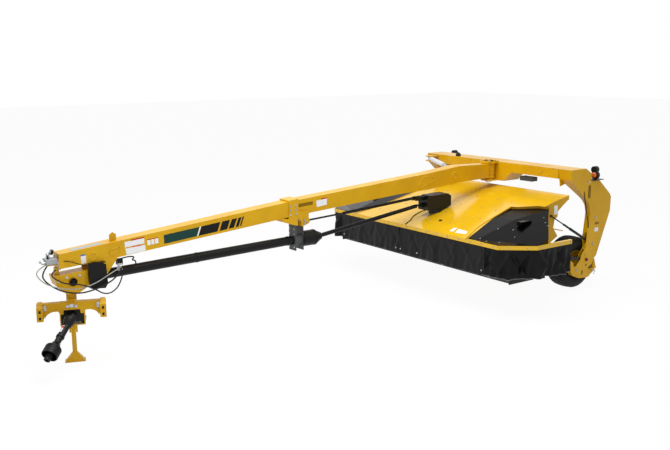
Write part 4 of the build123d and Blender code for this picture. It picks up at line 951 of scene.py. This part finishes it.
def make_portal_parts():
    """Leg parts, and the beam's lamp, lugs, head plate, boss rings, grease roller, box, welds and lines."""
    make_leg_parts()
    dome = [(0, 0), (0, 42), (10, 46), (22, 44), (48, 30), (60, 14), (63, 0)]
    piece("beam_lamp", [turned(spot(-872, -80, BEAM_TOP), UP, dome, 32)], "guard", "portal")
    lugs = [slab(spot(x, -210, BEAM_TOP), LEFT, AHEAD, 100, 16, 52, 5) for x in (506, -1210)]
    piece("beam_lugs", lugs, "yellow", "portal")
    # Plate on the king pin's head with its bolts, and rings round the tongue's boss below
    plate = [(0, 34), (0, 118), (12, 118), (14, 116), (14, 34), (0, 34)]
    heads = bolts([spot(x, a, 1850) for x, a in [(-86, 60), (-60, 150), (60, 150), (86, 60)]], UP, 14)
    piece("head_plate", [turned(spot(*KING_PIN, 1837), UP, plate, 48)] + heads, "yellow", "portal")
    bead = [(0, 90), (0, 97), (6, 99), (20, 99), (26, 97), (26, 90), (0, 90)]
    beads = [turned(spot(*KING_PIN, z), UP, bead, 40) for z in (1764, 1700, 1636, 1580)]
    piece("boss_rings", beads, "yellow", "tongue")
    piece("grease_roller", [turned(spot(60, 190, 1530), LEFT, rod(15, 46), 20)], "white", "portal")
    piece("beam_box", [slab(spot(680, -20, 1620), LEFT, -UP, 250, 66, 120, 10)], "grey", "portal")
    seams = []
    for (x0, z0), (x1, z1) in BEAM_SEAMS:
        path = [spot(x0, 1, z0), spot((x0 + x1) / 2, 1, (z0 + z1) / 2), spot(x1, 1, z1)]
        seams.append(swept(eased(path, 1), 10, 10, 8))
    piece("beam_welds", seams, "yellow", "portal", 60)
    lines = [swept(eased([spot(side * x, a, z) for x, a, z in LEG_LINE]), 15, 15) for side in (1, -1)]
    piece("leg_lines", lines, "hose", "portal")


# Small parts of the header. The shields' places are (across, ahead) on its left half.
LIP_FRONT, LIP_SIDE, LIP_BOLT_HEIGHT = 1798, 2174, 980
SHIELD_EDGE = [(1268, 1811), (1125, 1436), (1100, 1269), (1074, 1072), (1033, 674)]
SHIELD_REAR = [(1020, 676), (1135, 654), (1405, 511), (1584, 500)]
SHIELD_BOLTS = [
    (1427, 1704), (1577, 1741), (1721, 1641), (1608, 1251), (1766, 1393), (1421, 1354), (1814, 837),
    (1898, 883), (1700, 740),
]
# The cable that lies on the deck, as (across, ahead)
DECK_CABLE = [(-37, 1790), (-60, 1720), (-90, 1640), (-150, 1560), (-193, 1465), (-205, 1330), (-170, 1235)]


def surface_point(across, ahead):
    """The highest point of a shield at that place, found with a ray from above on the CAD mesh."""
    node = NODES["shield_left" if across > 0 else "shield_right"]
    start = Vector(spot(across, ahead, 2500))
    hit, place, _, _ = node.ray_cast(node.matrix_world.inverted() @ start, Vector((0, 0, -1)))
    if not hit:
        raise RuntimeError(f"no shield under {across}, {ahead}")
    return np.array(node.matrix_world @ place)


def make_header_parts():
    """Lip bolts, edges and bolts of the end shields, and the deck's seams, cable, bolts and plug."""
    heads = bolts([spot(x, LIP_FRONT, LIP_BOLT_HEIGHT) for x in np.linspace(-1760, 1760, 17)], AHEAD, 8)
    for side in (1, -1):
        rail = [spot(side * LIP_SIDE, ahead, LIP_BOLT_HEIGHT) for ahead in (1330, 1162, 943, 727)]
        heads += bolts(rail, side * LEFT, 8)
        corner = [spot(side * (1840 + 334 * t), LIP_FRONT - 398 * t, LIP_BOLT_HEIGHT) for t in (0.25, 0.75)]
        heads += bolts(corner, np.array((side * 0.766, -0.643, 0)), 8)
    piece("lip_bolts", heads, "steel", "header")
    # Folded edge along each shield, and a strip of yellow in painted shade that closes the gap behind it
    shade_strips = [swept([deck_spot(side * x, a, -34) for x, a in SHIELD_REAR], 5, 84, 8) for side in (1, -1)]
    piece("shield_rear_shade_strips", shade_strips, "yellow_dark", "header", 50)
    edges = []
    for side in (1, -1):
        path = [spot(side * (x - 10), a, deck_height(min(a, 1795)) + 5) for x, a in SHIELD_EDGE]
        edges.append(swept(path, 16, 9, 8))
    piece("shield_edges", edges, "yellow_rough", "header", 50)
    places = [surface_point(side * x, a) for side in (1, -1) for x, a in SHIELD_BOLTS]
    piece("shield_bolts", bolts(places, deck_normal(), 7), "steel", "header")
    cable = eased([deck_spot(x, a, 7) for x, a in DECK_CABLE])
    piece("deck_cable", [swept(cable, 12, 12)], "hose", "header")
    seams = [
        swept([deck_spot(x, a, 0.6) for a in (1780, 1240, 700, 320)], 16, 4, 8) for x in (-60, -870, 760)
    ]
    piece("deck_seams", seams, "yellow_sheet", "header", 60)
    places = [deck_spot(x, a) for x in (-1000, -740, -500, 190, 610, 900) for a in (1500, 1180, 860, 520)]
    piece("deck_bolts", bolts(places, deck_normal(), 8), "steel", "header")
    plug = turned(deck_spot(385, 1473), deck_normal(), [(0, 0), (0, 26), (8, 26), (14, 20), (14, 0)], 24)
    piece("deck_plug", [plug], "guard", "header")


# Stage: the photograph's camera, a pale floor and soft light.
CAMERA_PLACE = (9.430, PORTAL_BACK - 9.918, 3.416)
CAMERA_AZIMUTH = 54.2
CAMERA_PITCH = 10.96
CAMERA_ROLL = -0.37
CAMERA_LENS = 45.46
# Half the floor's width, and how far it lies below the tyres, in metres
FLOOR_HALF, FLOOR_DROP = 60, 0.0005
# Share of the floor's colour that glows where the camera or a mirror sees it, and the sky's share of light
FLOOR_GLOW = 0.94
SKY_LIGHT = 0.5
# name, width in metres, watts, place
LAMPS = (("top_lamp", 7, 700, (0.5, -1, 8)), ("side_lamp", 5, 110, (9, -7, 5)))
LAMP_AIM = (0, 0, 1)


def make_camera():
    """The camera, from its azimuth, pitch and roll."""
    azimuth, pitch, roll = (math.radians(v) for v in (CAMERA_AZIMUTH, CAMERA_PITCH, CAMERA_ROLL))
    level, fall = math.cos(pitch), math.sin(pitch)
    ahead = Vector((-math.sin(azimuth) * level, math.cos(azimuth) * level, -fall))
    right = Vector((math.cos(azimuth), math.sin(azimuth), 0))
    up = right.cross(ahead)
    across = right * math.cos(roll) + up * math.sin(roll)
    above = up * math.cos(roll) - right * math.sin(roll)
    data = bpy.data.cameras.new("camera")
    data.lens, data.sensor_width, data.clip_end = CAMERA_LENS, 36, 200
    camera = bpy.data.objects.new("camera", data)
    camera.matrix_world = Matrix((across, above, -ahead)).transposed().to_4x4()
    camera.matrix_world.translation = Vector(CAMERA_PLACE)
    bpy.context.collection.objects.link(camera)
    bpy.context.scene.camera = camera


def camera_or_mirror(tree):
    """1 where a camera ray or a glossy ray arrives, else 0."""
    rays = add(tree, "ShaderNodeLightPath")
    kinds = [(0, rays.outputs["Is Camera Ray"]), (1, rays.outputs["Is Glossy Ray"])]
    return add(tree, "ShaderNodeMath", kinds, operation="MAXIMUM").outputs[0]


def floor_material():
    """Matt white paper, lit like a light table where the camera or a mirror sees it."""
    made, tree, place = material("pale_floor")
    fibre = noise(tree, place, 900, 3)
    paper = add(tree, "ShaderNodeBsdfDiffuse")
    tree.links.new(mix(tree, fibre, linear("#F4F4F4"), linear("#EFEFEF")), paper.inputs["Color"])
    glow = add(tree, "ShaderNodeEmission", Strength=1.0)
    share = add(tree, "ShaderNodeMath", [(0, camera_or_mirror(tree))], operation="MULTIPLY")
    share.inputs[1].default_value = FLOOR_GLOW
    sources = [(0, share.outputs[0]), (1, paper.outputs[0]), (2, glow.outputs[0])]
    both = add(tree, "ShaderNodeMixShader", sources)
    add(tree, "ShaderNodeOutputMaterial", [("Surface", both.outputs[0])])
    return made


def make_stage(light):
    """A pale floor, a bright even sky and two large soft lamps."""
    data = bpy.data.meshes.new("floor")
    far = FLOOR_HALF
    data.from_pydata([(-far, -far, 0), (far, -far, 0), (far, far, 0), (-far, far, 0)], [], [(0, 1, 2, 3)])
    data.materials.append(floor_material())
    floor = bpy.data.objects.new("floor", data)
    floor.location.z = -FLOOR_DROP
    bpy.context.collection.objects.link(floor)
    world = bpy.data.worlds.new("sky")
    world.use_nodes = True
    sky = world.node_tree
    shade = sky.nodes["Background"]
    shade.inputs["Color"].default_value = (1, 1, 1, 1)
    sky.links.new(ramp(sky, camera_or_mirror(sky), 0, 1, SKY_LIGHT * light, 1), shade.inputs["Strength"])
    bpy.context.scene.world = world
    for name, size, power, place in LAMPS:
        lamp = bpy.data.lights.new(name, "AREA")
        lamp.size, lamp.energy = size, power * light
        made = bpy.data.objects.new(name, lamp)
        made.location = place
        made.rotation_euler = (Vector(LAMP_AIM) - Vector(place)).to_track_quat("-Z", "Y").to_euler()
        bpy.context.collection.objects.link(made)
    bpy.context.scene.view_settings.view_transform = "Standard"


# Settings of the add-on: colours with hex sRGB defaults, and sizes with defaults in mm
def colour_setting(name, code, text):
    """A colour setting."""
    return bpy.props.FloatVectorProperty(
        name=name, description=text, default=linear(code), size=4, min=0, max=1, subtype="COLOR"
    )


def size_setting(name, default, text):
    """A size setting, in metres."""
    return bpy.props.FloatProperty(
        name=name, description=text, default=default / 1000, min=0, precision=4, subtype="DISTANCE",
        unit="LENGTH",
    )


class MowerColours(bpy.types.PropertyGroup):
    yellow: colour_setting("Yellow", "#D6A60E", "Enamel on plate and box section")
    yellow_sheet: colour_setting("Sheet Yellow", "#E0B318", "Enamel on the header's pressed sheets")
    yellow_rough: colour_setting("Casting Yellow", "#D0A012", "Enamel on castings and small fabrications")
    black: colour_setting("Black", "#0A0A0B", "Enamel on struts, links and the turning gearbox")
    grey: colour_setting("Grey", "#4E5051", "Enamel on the cutterbar and the rotor")
    guard: colour_setting("Guards", "#0B0B0C", "Polyethylene of guards and tubes")
    shield: colour_setting("End Shields", "#030304", "Glossy moulding of the end shields")
    silver: colour_setting("Cylinder", "#D5D8DA", "Enamel on the swing cylinder")
    curtain: colour_setting("Front Curtains", "#141414", "Coated cloth of the front curtains")
    # The corner curtains' colour is the front cloth darkened as painted shade
    curtain_corner: colour_setting("Corner Curtains", "#08080A", "Coated cloth of the corner curtains")
    tyre: colour_setting("Tyres", "#171616", "Rubber of the tyres")
    green: colour_setting("Stripe", "#0E3A33", "Vinyl of the long stripe on the tongue")


class MowerSizes(bpy.types.PropertyGroup):
    curtain_drop: size_setting("Curtain Drop", 391, "Height of the curtains")
    curtain_thick: size_setting("Curtain Thickness", 3, "Thickness of the curtains' cloth")
    panel_fold: size_setting("Front Folds", 14, "How far the folds of the front curtains stand out")
    corner_fold: size_setting("Corner Folds", 56, "How far the folds of the corner curtains stand out")
    brake_hose: size_setting("Brake Hose", 13, "Diameter of the braided brake hose")
    lift_hose: size_setting("Lift Hose", 17, "Diameter of the lift cylinders' hose")
    swing_hose: size_setting("Swing Hose", 15, "Diameter of the swing cylinder's hose")
    box_cable: size_setting("Box Cable", 10, "Diameter of the cable to the manual box")
    groove_depth: size_setting("Groove Depth", 8, "Depth of the tyres' grooves")


class MowerStageSettings(bpy.types.PropertyGroup):
    light: bpy.props.FloatProperty(
        name="Light", description="Strength of the sky and the lamps", default=1.0, min=0, subtype="FACTOR"
    )


class MOWER_OT_finishes(bpy.types.Operator):
    """Make the materials and paint the CAD nodes."""

    bl_idname = "mower.finishes"
    bl_label = "Finishes"

    def execute(self, context):
        finishes(context.scene.mower_colours)
        paint_nodes()
        return {"FINISHED"}


class MOWER_OT_stage(bpy.types.Operator):
    """Make the camera, the floor and the lights."""

    bl_idname = "mower.stage"
    bl_label = "Stage"

    def execute(self, context):
        make_camera()
        make_stage(context.scene.mower_stage.light)
        return {"FINISHED"}


class MOWER_OT_hoses(bpy.types.Operator):
    """Hang the hoses of the hitch."""

    bl_idname = "mower.hoses"
    bl_label = "Hoses"

    def execute(self, context):
        make_hoses(context.scene.mower_sizes)
        return {"FINISHED"}


class MOWER_OT_curtains(bpy.types.Operator):
    """Hang the curtains round the header."""

    bl_idname = "mower.curtains"
    bl_label = "Curtains"

    def execute(self, context):
        make_curtains(context.scene.mower_sizes)
        return {"FINISHED"}


class MOWER_OT_wheels(bpy.types.Operator):
    """Make the tyres, nuts and hub caps."""

    bl_idname = "mower.wheels"
    bl_label = "Wheels"

    def execute(self, context):
        make_wheels(context.scene.mower_sizes)
        return {"FINISHED"}


class MOWER_OT_plates(bpy.types.Operator):
    """Lay the blank plates and stripes."""

    bl_idname = "mower.plates"
    bl_label = "Plates and Stripes"

    def execute(self, context):
        make_plates()
        return {"FINISHED"}


class MOWER_OT_tongue_parts(bpy.types.Operator):
    """Make the small parts of the tongue."""

    bl_idname = "mower.tongue_parts"
    bl_label = "Tongue Parts"

    def execute(self, context):
        make_tongue_parts()
        return {"FINISHED"}


class MOWER_OT_hitch_parts(bpy.types.Operator):
    """Make the small parts of the hitch and the guarded shaft."""

    bl_idname = "mower.hitch_parts"
    bl_label = "Hitch Parts"

    def execute(self, context):
        make_hitch_parts()
        return {"FINISHED"}


class MOWER_OT_portal_parts(bpy.types.Operator):
    """Make the small parts of the portal."""

    bl_idname = "mower.portal_parts"
    bl_label = "Portal Parts"

    def execute(self, context):
        make_portal_parts()
        return {"FINISHED"}


class MOWER_OT_header_parts(bpy.types.Operator):
    """Make the small parts of the header."""

    bl_idname = "mower.header_parts"
    bl_label = "Header Parts"

    def execute(self, context):
        make_header_parts()
        return {"FINISHED"}


SETTINGS = {"mower_colours": MowerColours, "mower_sizes": MowerSizes, "mower_stage": MowerStageSettings}
OPERATORS = (
    MOWER_OT_finishes, MOWER_OT_stage, MOWER_OT_hoses, MOWER_OT_curtains, MOWER_OT_wheels, MOWER_OT_plates,
    MOWER_OT_tongue_parts, MOWER_OT_hitch_parts, MOWER_OT_portal_parts, MOWER_OT_header_parts,
)


class MOWER_PT_panel(bpy.types.Panel):
    """Lists the steps in order, and the settings below them."""

    bl_label = "Mower Conditioner"
    bl_space_type = "VIEW_3D"
    bl_region_type = "UI"
    bl_category = "Mower Conditioner"

    def draw(self, context):
        for operator in OPERATORS:
            self.layout.operator(operator.bl_idname)
        for group, kind in SETTINGS.items():
            for setting in kind.__annotations__:
                self.layout.prop(getattr(context.scene, group), setting)


CLASSES = (*SETTINGS.values(), *OPERATORS, MOWER_PT_panel)


def register():
    """Register the classes and hang the settings on the scene."""
    for each in CLASSES:
        bpy.utils.register_class(each)
    for group, kind in SETTINGS.items():
        setattr(bpy.types.Scene, group, bpy.props.PointerProperty(type=kind))


def unregister():
    """Undo what register did."""
    for group in SETTINGS:
        delattr(bpy.types.Scene, group)
    for each in reversed(CLASSES):
        bpy.utils.unregister_class(each)


def main():
    """Register the add-on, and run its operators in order."""
    register()
    for operator in OPERATORS:
        getattr(bpy.ops.mower, operator.bl_idname.removeprefix("mower."))()


if __name__ == "__main__":
    main()
